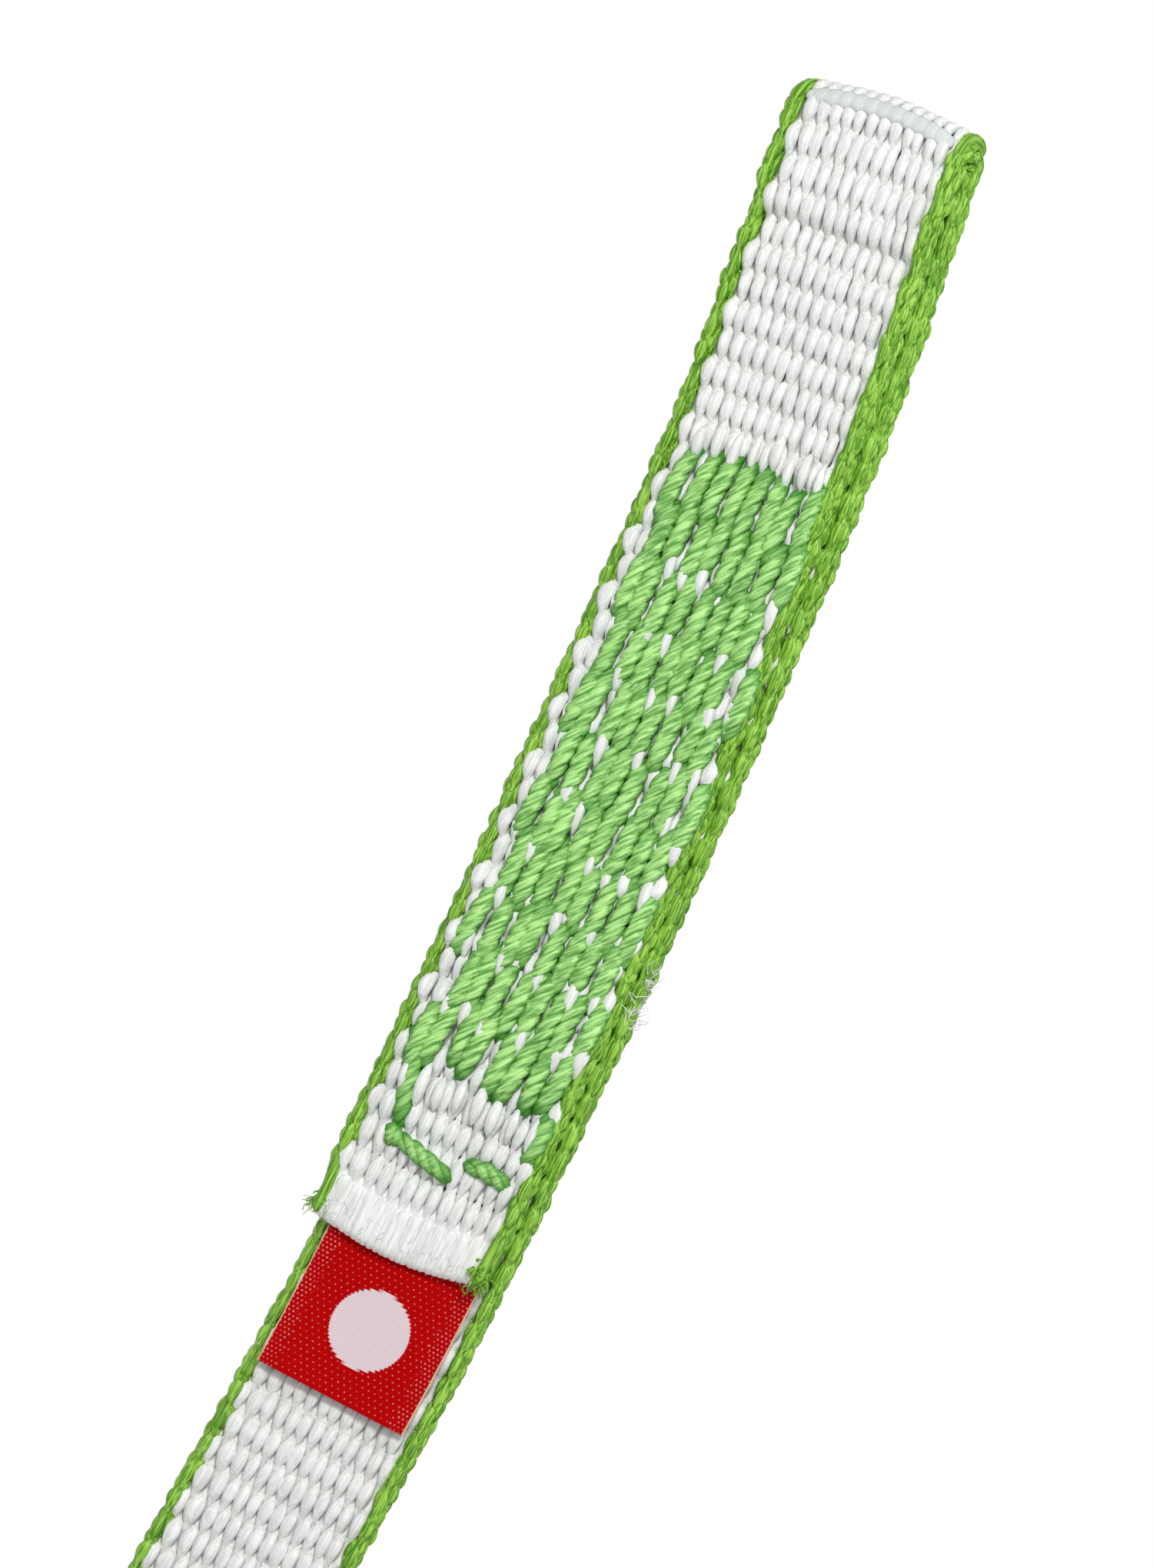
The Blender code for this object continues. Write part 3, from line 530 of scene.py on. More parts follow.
def metal_material(name, base, worn, roughness, wear=0.0):
    """Metal with fine scratches, cloudy patches and paler worn edges."""
    shader = Shader(name, roughness, 1.0)
    scratches = shader.noise(shader.coordinates(None, (9000, 700, 9000)), 1.0, 2.0)
    clouds = shader.noise(shader.coordinates(), 260.0, 3.0)
    dull = [c * 0.72 for c in base]
    base_colour = shader.mix(shader.ramp(clouds, 0.3, 0.7, 0.0, 0.35), base, dull)
    if wear:
        rubbed = shader.ramp(clouds, 0.35, 0.6, 0.2, wear)
        rubbed = shader.math("MULTIPLY", shader.attribute("worn", "Fac"), rubbed)
        base_colour = shader.mix(rubbed, base_colour, worn)
    shader.colour(base_colour)
    shader.roughness(shader.ramp(scratches, 0.3, 0.7, roughness - 0.08, roughness + 0.12))
    shader.bump(scratches, 0.12, 0.00004)
    return shader.material


def plastic_material(name, base, roughness):
    """Moulded plastic with a fine grain and slight scuffs."""
    shader = Shader(name, roughness)
    grain = shader.noise(shader.coordinates(), 5200.0, 2.0)
    scuffs = shader.noise(shader.coordinates(None, (900, 900, 160)), 1.0, 4.0)
    pale = [c * 0.8 + 0.035 for c in base]
    shader.colour(shader.mix(shader.ramp(scuffs, 0.48, 0.72, 0.0, 0.5), base, pale))
    shader.roughness(shader.ramp(scuffs, 0.35, 0.7, roughness - 0.06, roughness + 0.14))
    shader.bump(grain, 0.25, 0.00005)
    return shader.material


# The sling's line and the woven surface on it


def bowed_x(z):
    """Where the sling's middle line runs at this height, as it bows to one side."""
    aside = EYE_LEAN * smooth_step((z + EYE_LEANS_OVER) / EYE_LEANS_OVER)
    return STEM_X - BOW / 2 * np.maximum(0.0, z - BOW_STARTS_Z) ** 2 - aside


def lean(z):
    """How far the sling leans at this height, as an angle."""
    return BOW * np.maximum(0.0, z - BOW_STARTS_Z)


def sewn_share(z):
    """1 at the heights of the upper bar tack, and 0 away from it."""
    below_top, below_end = (smooth_step((end - z) / FLATTENS_OVER) for end in CLIP_TACK)
    return below_top - below_end


def hang(across, back, z):
    """Places this far across and behind the sling's middle line, with its eye's slight twist."""
    slope = lean(z)
    turn = EYE_TWIST * smooth_step((z - TWIST_STARTS_Z) / (TWIST_ENDS_Z - TWIST_STARTS_Z))
    across = across * (1 + TACK_SPREAD * sewn_share(z))
    right = across * np.cos(turn) + back * np.sin(turn)
    deep = back * np.cos(turn) - across * np.sin(turn)
    return np.stack([bowed_x(z) + right * np.cos(slope), deep, z + right * np.sin(slope)], axis=-1)


def standing_share(z):
    """1 where the long ply lies behind the upper tail, and 0 where it lies before the lower one."""
    return smooth_step((z - BACK_END_Z) / (FRONT_END_Z - BACK_END_Z))


def standing_y(z):
    return between(-PLY_Y, PLY_Y, standing_share(z))


def standing_shift(z):
    return PLY_SHIFT * np.minimum(standing_share(z), smooth_step(z / CLIP_TACK[0]))


def clip_eye_half_gap(z):
    share = np.clip((z - CLIP_TACK[0]) / (FOLD_Z - CLIP_TACK[0]), 0, 1)
    return between(PLY_Y, FOLD_RADIUS, smooth_step(share)) + EYE_BULGE * np.sin(np.pi * share) ** 2


def loop_eye_half_gap(z):
    share = (LOOP_TACK[1] - z) / (LOOP_TACK[1] - LOOP_BAR_Z)
    return between(PLY_Y, LOOP_EYE_RADIUS, smooth_step(share))


def run(first, last):
    """Heights from first to last, close together, without the last."""
    return np.linspace(first, last, max(2, round(abs(last - first) / LINE_STEP)), endpoint=False)


def sling_line():
    """The middle of the webbing from its upper tail to its lower one, as shift, y and z."""
    up, eye = run(FRONT_END_Z, CLIP_TACK[0]), run(CLIP_TACK[0], FOLD_Z)
    fold = np.linspace(np.pi, 0, 33)
    down = run(CLIP_TACK[0], LOOP_TACK[1])[1:]
    low_eye = run(LOOP_TACK[1], LOOP_BAR_Z)
    low_fold = np.linspace(np.pi, 2 * np.pi, 49)
    low_y, low_z = LOOP_EYE_RADIUS * np.cos(low_fold), LOOP_EYE_RADIUS * np.sin(low_fold)
    tail = np.append(run(LOOP_TACK[1], BACK_END_Z)[1:], BACK_END_Z)
    stretches = [
        (-PLY_SHIFT + 0 * up, -PLY_Y + 0 * up, up),
        (-standing_shift(eye), -clip_eye_half_gap(eye), eye),
        (0 * fold, FOLD_RADIUS * np.cos(fold), FOLD_Z + FOLD_RADIUS * np.sin(fold)),
        (standing_shift(eye[::-1]), clip_eye_half_gap(eye[::-1]), eye[::-1]),
        (standing_shift(down), standing_y(down), down),
        (0 * low_eye, -loop_eye_half_gap(low_eye), low_eye),
        (0 * low_fold, low_y, LOOP_BAR_Z + low_z),
        (0 * low_eye, loop_eye_half_gap(low_eye[::-1]), low_eye[::-1]),
        (0 * tail, PLY_Y + 0 * tail, tail),
    ]
    return [np.concatenate(part) for part in zip(*stretches)]


def front_along(z):
    """How far along the webbing its front ply reaches this height."""
    return z - FRONT_END_Z


class SlingSurface:
    """Turns flat webbing places (along, across, above) into places on the hanging sling."""

    def __init__(self):
        shift, y, z = sling_line()
        self.middle = hang(shift, y, z)
        steps = np.linalg.norm(np.diff(self.middle, axis=0), axis=1)
        self.along = np.concatenate([[0], np.cumsum(steps)])
        self.length = self.along[-1]
        self.across = unit(hang(shift + MM, y, z) - self.middle)
        self.tangent = unit(np.gradient(self.middle, self.along, axis=0))
        self.above = unit(np.cross(self.across, self.tangent))

    def read(self, field, along):
        return np.stack([np.interp(along, self.along, field[:, i]) for i in range(3)], axis=1)

    def height(self, along):
        return np.interp(along, self.along, self.middle[:, 2])

    def place(self, flat):
        along = np.clip(flat[:, 0], 0, self.length)
        spare = flat[:, 0] - along
        found = self.read(self.middle, along) + self.read(self.tangent, along) * spare[:, None]
        found += self.read(self.across, along) * flat[:, 1:2]
        found += self.read(self.above, along) * flat[:, 2:3]
        arch = np.clip(1 - (flat[:, 1] / ARCH_HALF) ** 2, 0, 1)
        found[:, 2] += FOLD_ARCH * arch * smooth_step((found[:, 2] + ARCH_OVER) / ARCH_OVER)
        return found


SURFACE = SlingSurface()
SQUEEZE = 1.06
SAMPLES_A_ROW = 8

# Each kind of yarn: its radius, how far it swings, its thinnest part, its melted end and its taper
WHITE_YARN = dict(radius=0.00044, swing=0.00046, thin=0.42, bulk=0.00068, taper=0.72)
EDGE_YARN = dict(radius=0.00033, thin=0.25, bulk=0.00036, taper=1.0)
ROUND_YARN = dict(radius=0.00040, swing=0.00012, thin=0.20, bulk=0.00034, taper=1.0)
CORE_YARN = dict(radius=0.00044, swing=0.0001, thin=0.30, bulk=0.00056, taper=1.0)
CROWN_YARN = dict(radius=0.00044, swing=0.0001, thin=0.90, bulk=0.00034, taper=1.0)

# The grains of the weave, how they stray, and the crease in the eye's front
GRAIN_SKEW = 0.32
UNEVEN = 0.05
STRAY_UP = 0.00003
STRAY_ASIDE = 0.00004
FLATTEST = 0.00095
CREASE_Z = -0.0078
CREASE_DEPTH = 0.00055
CREASE_HALF = 0.0011
RIM_AFTER = 0.0028
RIM_HEIGHT = 0.00018
RIM_HALF = 0.0012

# The melted end and the curve of its cut
MELTED = 0.0019
MELTED_ROUND = 0.0008
MELTED_WIDTH = 0.96
CUT_SAG = 0.00095
SAG_ASIDE = 0.0008
SAG_HALF = 0.0066
SAG_OVER = 0.0080

# The white weave at the seam, where it lifts and spreads, and its outer grains
SEAM_LIFT = 0.00034
SEAM_LIFT_OVER = 0.0010
WHITE_SPREAD = 0.07
LAP = 0.00036
LAP_FROM = 0.0036
LAP_OVER = 0.0016
LAP_RISE = 0.22

# The ridge across the fold
CREST_AFTER = 0.0012
CREST_RADIUS = 0.00046
CREST_ABOVE = 0.00058
CREST_REACH = 0.0055
CREST_KNOTS = 12

# The green edges: where their yarns lie beyond the white ones, and what fills them
EDGE_FLATTEST = 0.0014
EDGE_ASIDE = (0.00010, 0.00060)
EDGE_SWING = (0.00050, 0.00040)
EDGE_LAG = 0.5
EDGE_SINK = 0.20
EDGE_FILL = 0.25
ROUND_YARNS = 4
ROUND_ASIDE = 0.00076
ROUND_CURVE = 0.00018
ROUND_PUSH = 0.30
ROUND_REACH = 0.00080
CORE_ASIDE = (0.00042, 0.00064)
CORE_BELOW = 0.00080
CORE_INWARDS = 0.0006
CROWN_ASIDE = 0.00060
CROWN_ABOVE = 0.00050
CROWN_REACH = 0.0026
FLECKS = 7
FLECKS_Z = (-0.0275, -0.0500)
FLECK_HALF = 0.0011
FLECK_ASIDE = 0.00098
FLECK_RADIUS = 0.00026


def tack_rows(top, end, row, overlap):
    """How many rows of stitches fill a bar tack, and the exact length of each."""
    rows = round((top - end - overlap) / row)
    return rows, (top - end - overlap) / rows


def seam_lift(along):
    """How far the weave stands up between the stitches, where the rows of a seam meet."""
    thread = bpy.context.scene.cam_thread
    rows, length = tack_rows(*CLIP_TACK, thread.row, thread.overlap)
    lift = 0 * along
    for row in range(2, rows):
        meet = front_along(CLIP_TACK[0] - row * length - thread.overlap / 2)
        lift += SEAM_LIFT * between(0.5, 1.2, row / rows) * hump(along - meet, SEAM_LIFT_OVER)
    return lift


def yarn_line(random, across, phase, row, radius, swing, thin, bulk, taper):
    """One yarn's flat line and its thickness, as it passes over and under the hidden weft."""
    count = round(SURFACE.length / row * SAMPLES_A_ROW)
    along = np.linspace(0, SURFACE.length, count)
    turn = np.pi * along / row + phase
    wave = np.cos(turn - GRAIN_SKEW * np.cos(turn))
    from_end = np.minimum(along, SURFACE.length - along)
    woven = smooth_step((from_end - MELTED) / MELTED)
    grain = between(thin, 1, np.abs(wave) ** taper)
    grain *= 1 + UNEVEN * smooth_noise(random, count, SAMPLES_A_ROW)
    rounded = 1 - np.clip(1 - from_end / MELTED_ROUND, 0, 1) ** 2
    thick = between(bulk * np.sqrt(np.clip(rounded, 0.02, 1)), grain * radius, woven)
    crease = along - front_along(CREASE_Z)
    height = swing * wave * woven - CREASE_DEPTH * hump(crease, CREASE_HALF)
    height += RIM_HEIGHT * hump(crease - RIM_AFTER, RIM_HALF)
    height += STRAY_UP * smooth_noise(random, count, SAMPLES_A_ROW)
    sideways = across * between(MELTED_WIDTH, 1.0, woven)
    sideways += STRAY_ASIDE * smooth_noise(random, count, SAMPLES_A_ROW)
    sag = CUT_SAG * (1 - ((across + SAG_ASIDE) / SAG_HALF) ** 2)
    along = along - sag * (1 - smooth_step(along / SAG_OVER))
    return np.stack([along, sideways / SQUEEZE, height], axis=1), thick


def crest_weft():
    """The weft that shows as a knotted ridge across the fold, as a flat line and its thickness."""
    share = np.linspace(-1, 1, 121)
    along = front_along(FOLD_Z) + CREST_AFTER + 0 * share
    knots = 0.95 + 0.15 * np.abs(np.cos(share * CREST_KNOTS * np.pi / 2))
    thick = CREST_RADIUS * (1.02 - share**12) ** 0.5 * knots
    line = np.stack([along, CREST_REACH * share / SQUEEZE, CREST_ABOVE + 0 * share], axis=1)
    return line, thick


def share_above(along, z, over):
    """1 where the webbing hangs higher than z, and 0 where it hangs lower by this much or more."""
    return 1 - smooth_step((z - SURFACE.height(along)) / over)


def near_crown(along):
    """1 at the top of the fold, and less and less away from it."""
    return hump(along - front_along(FOLD_Z) - FOLD_RADIUS * math.pi / 2, CROWN_REACH)


def stretch_of(line, thick, share):
    """Only the stretch of a yarn where the share is more than nothing, thinned by it."""
    kept = share > 0.02
    return line[kept], thick[kept] * share[kept]


def edge_yarns(random, side, edge, settings):
    """The yarns of one green edge, from its woven ones to those that fill it."""
    for index in range(settings.edge_count):
        share = index / (settings.edge_count - 1)
        across = side * (edge + between(*EDGE_ASIDE, share))
        phase = math.pi * (index % 2) + EDGE_LAG * index
        swing = between(*EDGE_SWING, share)
        yield yarn_line(random, across, phase, settings.row, swing=swing, **EDGE_YARN)
    for index in range(ROUND_YARNS):
        share = between(-1, 1, index / (ROUND_YARNS - 1))
        across = side * (edge + ROUND_ASIDE - ROUND_CURVE * share**2)
        line, thick = yarn_line(random, across, math.pi / 2 * index, settings.row, **ROUND_YARN)
        line[:, 1] += side * ROUND_PUSH * (thick - thick.mean())
        line[:, 2] += ROUND_REACH * share
        yield line, thick
    for index, aside in enumerate(CORE_ASIDE):
        yield core_yarn(random, side * (edge + aside), math.pi * (index + 0.25), settings.row)
    yield crown_yarn(random, side * (edge + CROWN_ASIDE), settings.row)


def core_yarn(random, across, phase, row):
    """A yarn that fills the gap between the two plies along an edge."""
    line, thick = yarn_line(random, across, phase, row, **CORE_YARN)
    line[:, 2] -= CORE_BELOW + CORE_INWARDS * near_crown(line[:, 0])
    return stretch_of(line, thick, share_above(line[:, 0], FRONT_END_Z, MELTED))


def crown_yarn(random, across, row):
    """A yarn that fills the outer side of the fold along an edge."""
    line, thick = yarn_line(random, across, 0.0, row, **CROWN_YARN)
    line[:, 2] += CROWN_ABOVE
    return stretch_of(line, thick, near_crown(line[:, 0]))


def edge_flecks(edge):
    """Short white grains that show between the two plies along the right edge, as flat lines."""
    share = np.linspace(-1, 1, 9)
    for z in np.linspace(*FLECKS_Z, FLECKS):
        along = front_along(z) + FLECK_HALF * share
        line = np.stack([along, edge + FLECK_ASIDE + 0 * share, -CORE_BELOW + 0 * share], axis=1)
        yield line / [1, SQUEEZE, 1], FLECK_RADIUS * (1.02 - share**2) ** 0.6


def lap_outer_grains(flat, sewn, doubled):
    """Spreads and lifts the white weave at the seam, and laps its outer grains over the green."""
    flat[:, 1] *= 1 + WHITE_SPREAD * sewn * smooth_step(flat[:, 2] / FLATTEST + 0.5)
    flat[:, 2] += seam_lift(flat[:, 0])
    flat[:, 2] *= 1 + LAP_RISE * smooth_step((np.abs(flat[:, 1]) - LAP_FROM) / LAP_OVER)
    flat[:, 1] -= LAP * (1 - doubled) * smooth_step((-flat[:, 1] - LAP_FROM) / LAP_OVER)


def woven_piece(name, yarns, resolution, material, edge=True):
    """A group of yarns, woven flat and laid along the sling. An edge is thicker than the white."""
    paths, radii = zip(*yarns)
    mesh = tubes(name, paths, 1.0, resolution, radii, flat_axis=True)
    flat = get_places(mesh)
    flat[:, 1] *= SQUEEZE
    flattest = EDGE_FLATTEST if edge else FLATTEST
    flat[:, 2] = flattest * np.tanh(flat[:, 2] / flattest)
    add_vectors(mesh, "weave", flat)
    sewn = sewn_share(SURFACE.height(flat[:, 0]))
    doubled = share_above(flat[:, 0], CLIP_TACK[1], FLATTENS_OVER)
    if edge:
        flat[:, 2] *= 1 + np.where(flat[:, 2] > 0, -EDGE_SINK * sewn, EDGE_FILL * doubled)
    else:
        lap_outer_grains(flat, sewn, doubled)
    set_places(mesh, SURFACE.place(flat))
    link_piece(name, mesh, material, "sling", "webbing", ["sling_webbing"])


class CAM_OT_webbing(bpy.types.Operator):
    """Weaves the sling from white yarns with green ones along both edges"""

    bl_idname = "cam.webbing"
    bl_label = "Webbing"

    def execute(self, context):
        settings = context.scene.cam_webbing
        random = np.random.default_rng(3)
        white_shade = [c * 0.70 for c in settings.white]
        white = yarn_material("white_yarn", settings.white, white_shade, 0.7)
        green = yarn_material("green_yarn", settings.green, settings.green_dark, 0.95, 0.12)
        middle = (settings.white_count - 1) / 2
        yarns = []
        for index in range(settings.white_count):
            across, phase = (index - middle) * settings.pitch, math.pi * (index % 2)
            yarns.append(yarn_line(random, across, phase, settings.row, **WHITE_YARN))
        third = math.ceil(len(yarns) / 3)
        for part, name in enumerate(("left", "middle", "right")):
            strip = yarns[part * third : (part + 1) * third]
            woven_piece(f"webbing_white_{name}", strip, 2, white, edge=False)
        # The ridge across the fold is coloured with painted shade: a grey yarn colour with a darker
        # fibre tone.
        crest_painted_shade_dark = [c * 0.8 for c in settings.crest_painted_shade]
        crest_painted_shade = yarn_material("pressed_yarn", settings.crest_painted_shade, crest_painted_shade_dark, 0.5)
        woven_piece("webbing_crest", [crest_weft()], 4, crest_painted_shade)
        edge = middle * settings.pitch + settings.pitch / 2
        for side, name in ((-1, "left"), (1, "right")):
            woven_piece(f"webbing_edge_{name}", edge_yarns(random, side, edge, settings), 1, green)
        woven_piece("webbing_edge_flecks", edge_flecks(edge), 2, white)
        return {"FINISHED"}


# Seams


SEAM_BASE = 0.00066
STRAND_TAPER = 3.0
STRAND_DIVE = 0.0005
STRAND_TIP = 0.45
STRAND_BEND = 0.00015
STRAND_RISE = (0.00018, 0.00030)
PLIES = 3
PLY_WIDE = 1.05
PLY_HIGH = 0.85
FIBRE_LAY = math.radians(40)
# Heights over which the thread's painted shade fades out.
DEPTH_FROM = -0.0002
DEPTH_OVER = 0.0010

# How far the stitches stray, and what sets the top and the last row apart
ACROSS_STRAY = 0.00010
TIP_STRAY = 0.00030
SLANT_STRAY = 0.00012
TOP_ROW_ASIDE = 0.00055
PAIRED_TIPS = 0.17

# The white grains that stand up between the strands
GRAIN_LENGTH = 0.0030
GRAIN_RADIUS = 0.00040
GRAIN_RISE = 0.00030
GRAIN_DIVE = 0.0004
GRAIN_BEYOND = 1.35
GRAIN_SLANT = 0.0001
GRAIN_STRAY = (0.0001, 0.0004)
GRAIN_SIZES = (0.75, 1.1)
GRAIN_PLENTY = (0.45, 0.95)

# The stitches that tie off the front seam, each from its start (across, z) to its end
FINISHING_RISE = 0.00002
FINISHING_STITCHES = (
    ((-0.0050, -0.0655), (-0.0034, -0.0722)),
    ((-0.0037, -0.0722), (-0.0030, -0.0734)),
    ((-0.0034, -0.0727), (0.0014, -0.0738)),
    ((0.0016, -0.0725), (0.0050, -0.0727)),
    ((0.0052, -0.0670), (0.0051, -0.0710)),
)
STITCH_STEP = {"front": 0.00014, "back": 0.00018}


class SeamFace:
    """One face of a seam, on which meshes with flat places (across, z, above) are laid."""

    def __init__(self, side, shift):
        self.side = side
        self.shift = shift

    def lay(self, mesh, flat):
        across, z, above = flat.T
        set_places(mesh, hang(across + self.shift, self.side * (PLY_Y + SEAM_BASE + above), z))
        if self.side > 0:
            mesh.flip_normals()


def thread_plies(start, end, settings, random, rise, step):
    """The three twisted plies of one stitch between two points (across, z) of a face."""
    start, end = np.asarray(start), np.asarray(end)
    length = np.linalg.norm(end - start)
    share = np.linspace(0, 1, max(8, round(length / step)))
    way = (end - start) / length
    bend = STRAND_BEND * random.standard_normal() * np.sin(np.pi * share)
    full = 1 - np.abs(2 * share - 1) ** STRAND_TAPER
    thick = between(STRAND_TIP, 1.0, np.sqrt(full))
    above = between(-STRAND_DIVE, rise, full)
    spread = settings.ply_offset * thick
    turn = random.uniform(0, 2 * np.pi) + 2 * np.pi * share * length / settings.twist
    for ply in range(PLIES):
        angle = turn + 2 * np.pi * ply / PLIES
        aside = bend + PLY_WIDE * spread * np.cos(angle)
        across = between(start[0], end[0], share) - way[1] * aside
        z = between(start[1], end[1], share) + way[0] * aside
        yield np.stack([across, z, above + PLY_HIGH * spread * np.sin(angle)], axis=1), thick


def strand_places(row, settings):
    """Where the strands of a row lie across a bar tack."""
    columns = round(2 * settings.reach / settings.pitch)
    return (np.arange(columns) - (columns - 1) / 2 + (row % 2 - 0.5) / 2) * settings.pitch


def brickwork(random, top, end, settings, aside=0.0):
    """The stitches of a bar tack: rows of slanting strands, each row half a pitch aside."""
    rows, length = tack_rows(top, end, settings.row, settings.overlap)
    for row in range(rows):
        for index, across in enumerate(strand_places(row, settings)):
            across += aside + TOP_ROW_ASIDE * (row == 0) + ACROSS_STRAY * random.standard_normal()
            upper = top - row * length + TIP_STRAY * random.standard_normal()
            lower = upper - length - settings.overlap + TIP_STRAY * random.standard_normal()
            slant = settings.slant + SLANT_STRAY * random.standard_normal()
            rise = between(*STRAND_RISE, random.uniform())
            paired = PAIRED_TIPS * settings.pitch * (1 - 2 * (index % 2)) * (row == rows - 1)
            yield (across + slant / 2, upper), (across - slant / 2 + paired, lower), rise


def stitched_piece(name, face, stitches, settings, random, step, material, node):
    """Sews these stitches on a face, and keeps how deep each point lies for the material's painted
    shade.
    """
    plies = []
    for start, end, rise in stitches:
        plies += thread_plies(start, end, settings, random, rise, step)
    paths, radii = zip(*plies)
    mesh = tubes(name, paths, settings.ply_radius, 1, radii)
    flat = get_places(mesh)
    across, z, above = flat.T
    cosine, sine = math.cos(FIBRE_LAY), math.sin(FIBRE_LAY)
    lay = [z * cosine + across * sine, across * cosine - z * sine, above]
    add_vectors(mesh, "thread", np.stack(lay, axis=1))
    # How high each point lies, for the painted shade of the thread's material.
    depth = np.clip((above - DEPTH_FROM) / DEPTH_OVER, 0, 1)
    attribute = mesh.attributes.new("depth", "FLOAT", "POINT")
    attribute.data.foreach_set("value", depth.astype(np.float32))
    face.lay(mesh, flat)
    link_piece(name, mesh, material, "sling", "thread", [node])


def raised_grains(random, settings):
    """Grains of the white weave that stand up between the strands where two rows meet."""
    rows, length = tack_rows(*CLIP_TACK, settings.row, settings.overlap)
    share = np.linspace(-1, 1, 11)
    above = GRAIN_RISE - GRAIN_DIVE * share**2
    for row in (0, *range(2, rows + 1)):
        edge = (row == 0) - (row == rows)
        plenty = 1.0 if edge else random.uniform(*GRAIN_PLENTY)
        meet = CLIP_TACK[0] - row * length + (GRAIN_BEYOND * edge - 1) * settings.overlap / 2
        for across in strand_places(row + 1, settings):
            z = meet + GRAIN_STRAY[1] * random.standard_normal()
            half = GRAIN_LENGTH / 2 * random.uniform(*GRAIN_SIZES)
            thick = GRAIN_RADIUS * random.uniform(*GRAIN_SIZES)
            if random.uniform() > plenty:
                continue
            across += settings.aside + GRAIN_STRAY[0] * random.standard_normal()
            line = np.stack([across - GRAIN_SLANT * share, z + half * share, above], axis=1)
            yield line, thick * (1.05 - share**2) ** 0.7


def grain_piece(name, face, grains, material):
    paths, radii = zip(*grains)
    mesh = tubes(name, paths, 1.0, 2, radii)
    flat = get_places(mesh)
    add_vectors(mesh, "weave", flat[:, [1, 0, 2]])
    face.lay(mesh, flat)
    link_piece(name, mesh, material, "sling", "webbing")


class CAM_OT_stitching(bpy.types.Operator):
    """Sews both seams, with every stitch a twisted thread on each face"""

    bl_idname = "cam.stitching"
    bl_label = "Stitching"

    def execute(self, context):
        settings = context.scene.cam_thread
        random = np.random.default_rng(8)
        thread, white = thread_material(settings), bpy.data.materials["white_yarn"]
        for name, side in (("front", -1), ("back", 1)):
            step = STITCH_STEP[name]
            face = SeamFace(side, side * PLY_SHIFT)
            stitches = list(brickwork(random, *CLIP_TACK, settings, settings.aside))
            if name == "front":
                stitches += [(*ends, FINISHING_RISE) for ends in FINISHING_STITCHES]
            seam, node = f"clip_seam_{name}", f"clip_eye_stitching_{name}"
            stitched_piece(seam, face, stitches, settings, random, step, thread, node)
            grain_piece(f"raised_weave_{name}", face, raised_grains(random, settings), white)
            face = SeamFace(side, 0.0)
            stitches = brickwork(random, *LOOP_TACK, settings)
            seam, node = f"loop_seam_{name}", f"loop_eye_stitching_{name}"
            stitched_piece(seam, face, stitches, settings, random, step, thread, node)
        return {"FINISHED"}


# Cut ends


FIBRE_TAPER = (1.0, 0.8, 0.35)
FIBRE_ROOT = 0.0012
FUZZ_ACROSS = (-0.0056, 0.0056)
TUFT_ACROSS = (0.0055, 0.0064)
KNOB_ACROSS = (0.0053, 0.0061)
FRAYED_ACROSS = (0.0061, 0.0066)
FRAYED_HEIGHTS = (-0.0560, -0.0571, -0.0582, -0.0593)
FRAYED_OUTWARDS = 0.0006


def fibre_lines(random, count, spread, base_along, outwards, length, rise):
    """Short loose fibres round a cut end, as flat lines."""
    for _ in range(count):
        across = random.uniform(*spread)
        above = random.uniform(-0.8, 0.9) * THICKNESS / 2
        reach = length * random.uniform(0.3, 1.0)
        ahead = outwards * random.uniform(0.2, 1.0)
        aim = np.array([ahead, random.normal(0, 0.45), random.uniform(-0.2, rise)])
        aim *= reach / np.linalg.norm(aim)
        curl = np.array([0, random.normal(0, 0.25), random.normal(0, 0.25)]) * reach
        start = np.array([base_along - outwards * random.uniform(0, FIBRE_ROOT), across, above])
        yield [start, start + aim * 0.5 + curl, start + aim]


def fibre_piece(name, lines, radius, material):
    lines = list(lines)
    mesh = tubes(name, lines, radius, 0, [FIBRE_TAPER] * len(lines))
    flat = get_places(mesh)
    add_vectors(mesh, "weave", flat)
    set_places(mesh, SURFACE.place(flat))
    link_piece(name, mesh, material, "sling", "webbing")


class CAM_OT_cut_ends(bpy.types.Operator):
    """Adds the loose fibres of the webbing's two cut ends and of one frayed stretch of its edge"""

    bl_idname = "cam.cut_ends"
    bl_label = "Cut ends"

    def execute(self, context):
        random = np.random.default_rng(5)
        white = bpy.data.materials["white_yarn"]
        green = bpy.data.materials["green_yarn"]
        for name, along, outwards in (("upper", 0.0, -1), ("lower", SURFACE.length, 1)):
            fuzz = fibre_lines(random, 320, FUZZ_ACROSS, along, outwards, 0.0008, 1.0)
            fibre_piece(f"{name}_cut_fuzz", fuzz, 0.000022, white)
            tufts = []
            for side in (-1, 1):
                spread = sorted(side * across for across in TUFT_ACROSS)
                tufts += fibre_lines(random, 100, spread, along, outwards, 0.0011, 0.8)
            fibre_piece(f"{name}_cut_tufts", tufts, 0.00004, green)
        knob = fibre_lines(random, 40, KNOB_ACROSS, 0.0006, -1, 0.0006, 1.0)
        fibre_piece("upper_cut_knob", knob, 0.00025, green)
        frayed = []
        for z in FRAYED_HEIGHTS:
            frayed += fibre_lines(random, 22, FRAYED_ACROSS, front_along(z), 1, 0.0014, 0.2)
        to_back_ply = np.array([0, 2 * PLY_SHIFT, FRAYED_OUTWARDS - 2 * PLY_Y])
        fibre_piece("frayed_edge", np.asarray(frayed) + to_back_ply, 0.000034, white)
        return {"FINISHED"}


# Label


LABEL_TUCKED = 0.0032
LABEL_THICKNESS = 0.00024
LABEL_GAP = 0.00014
TUCKED_GAP = 0.00008
LABEL_CURL = 0.00010
LABEL_CURLS_OVER = 0.0022
LABEL_RIPPLE = 0.00006
SIDE_LIFT = 0.00012
SIDES_FROM = 0.0050
SIDES_OVER = 0.0012
DISC_BELOW = 0.0004


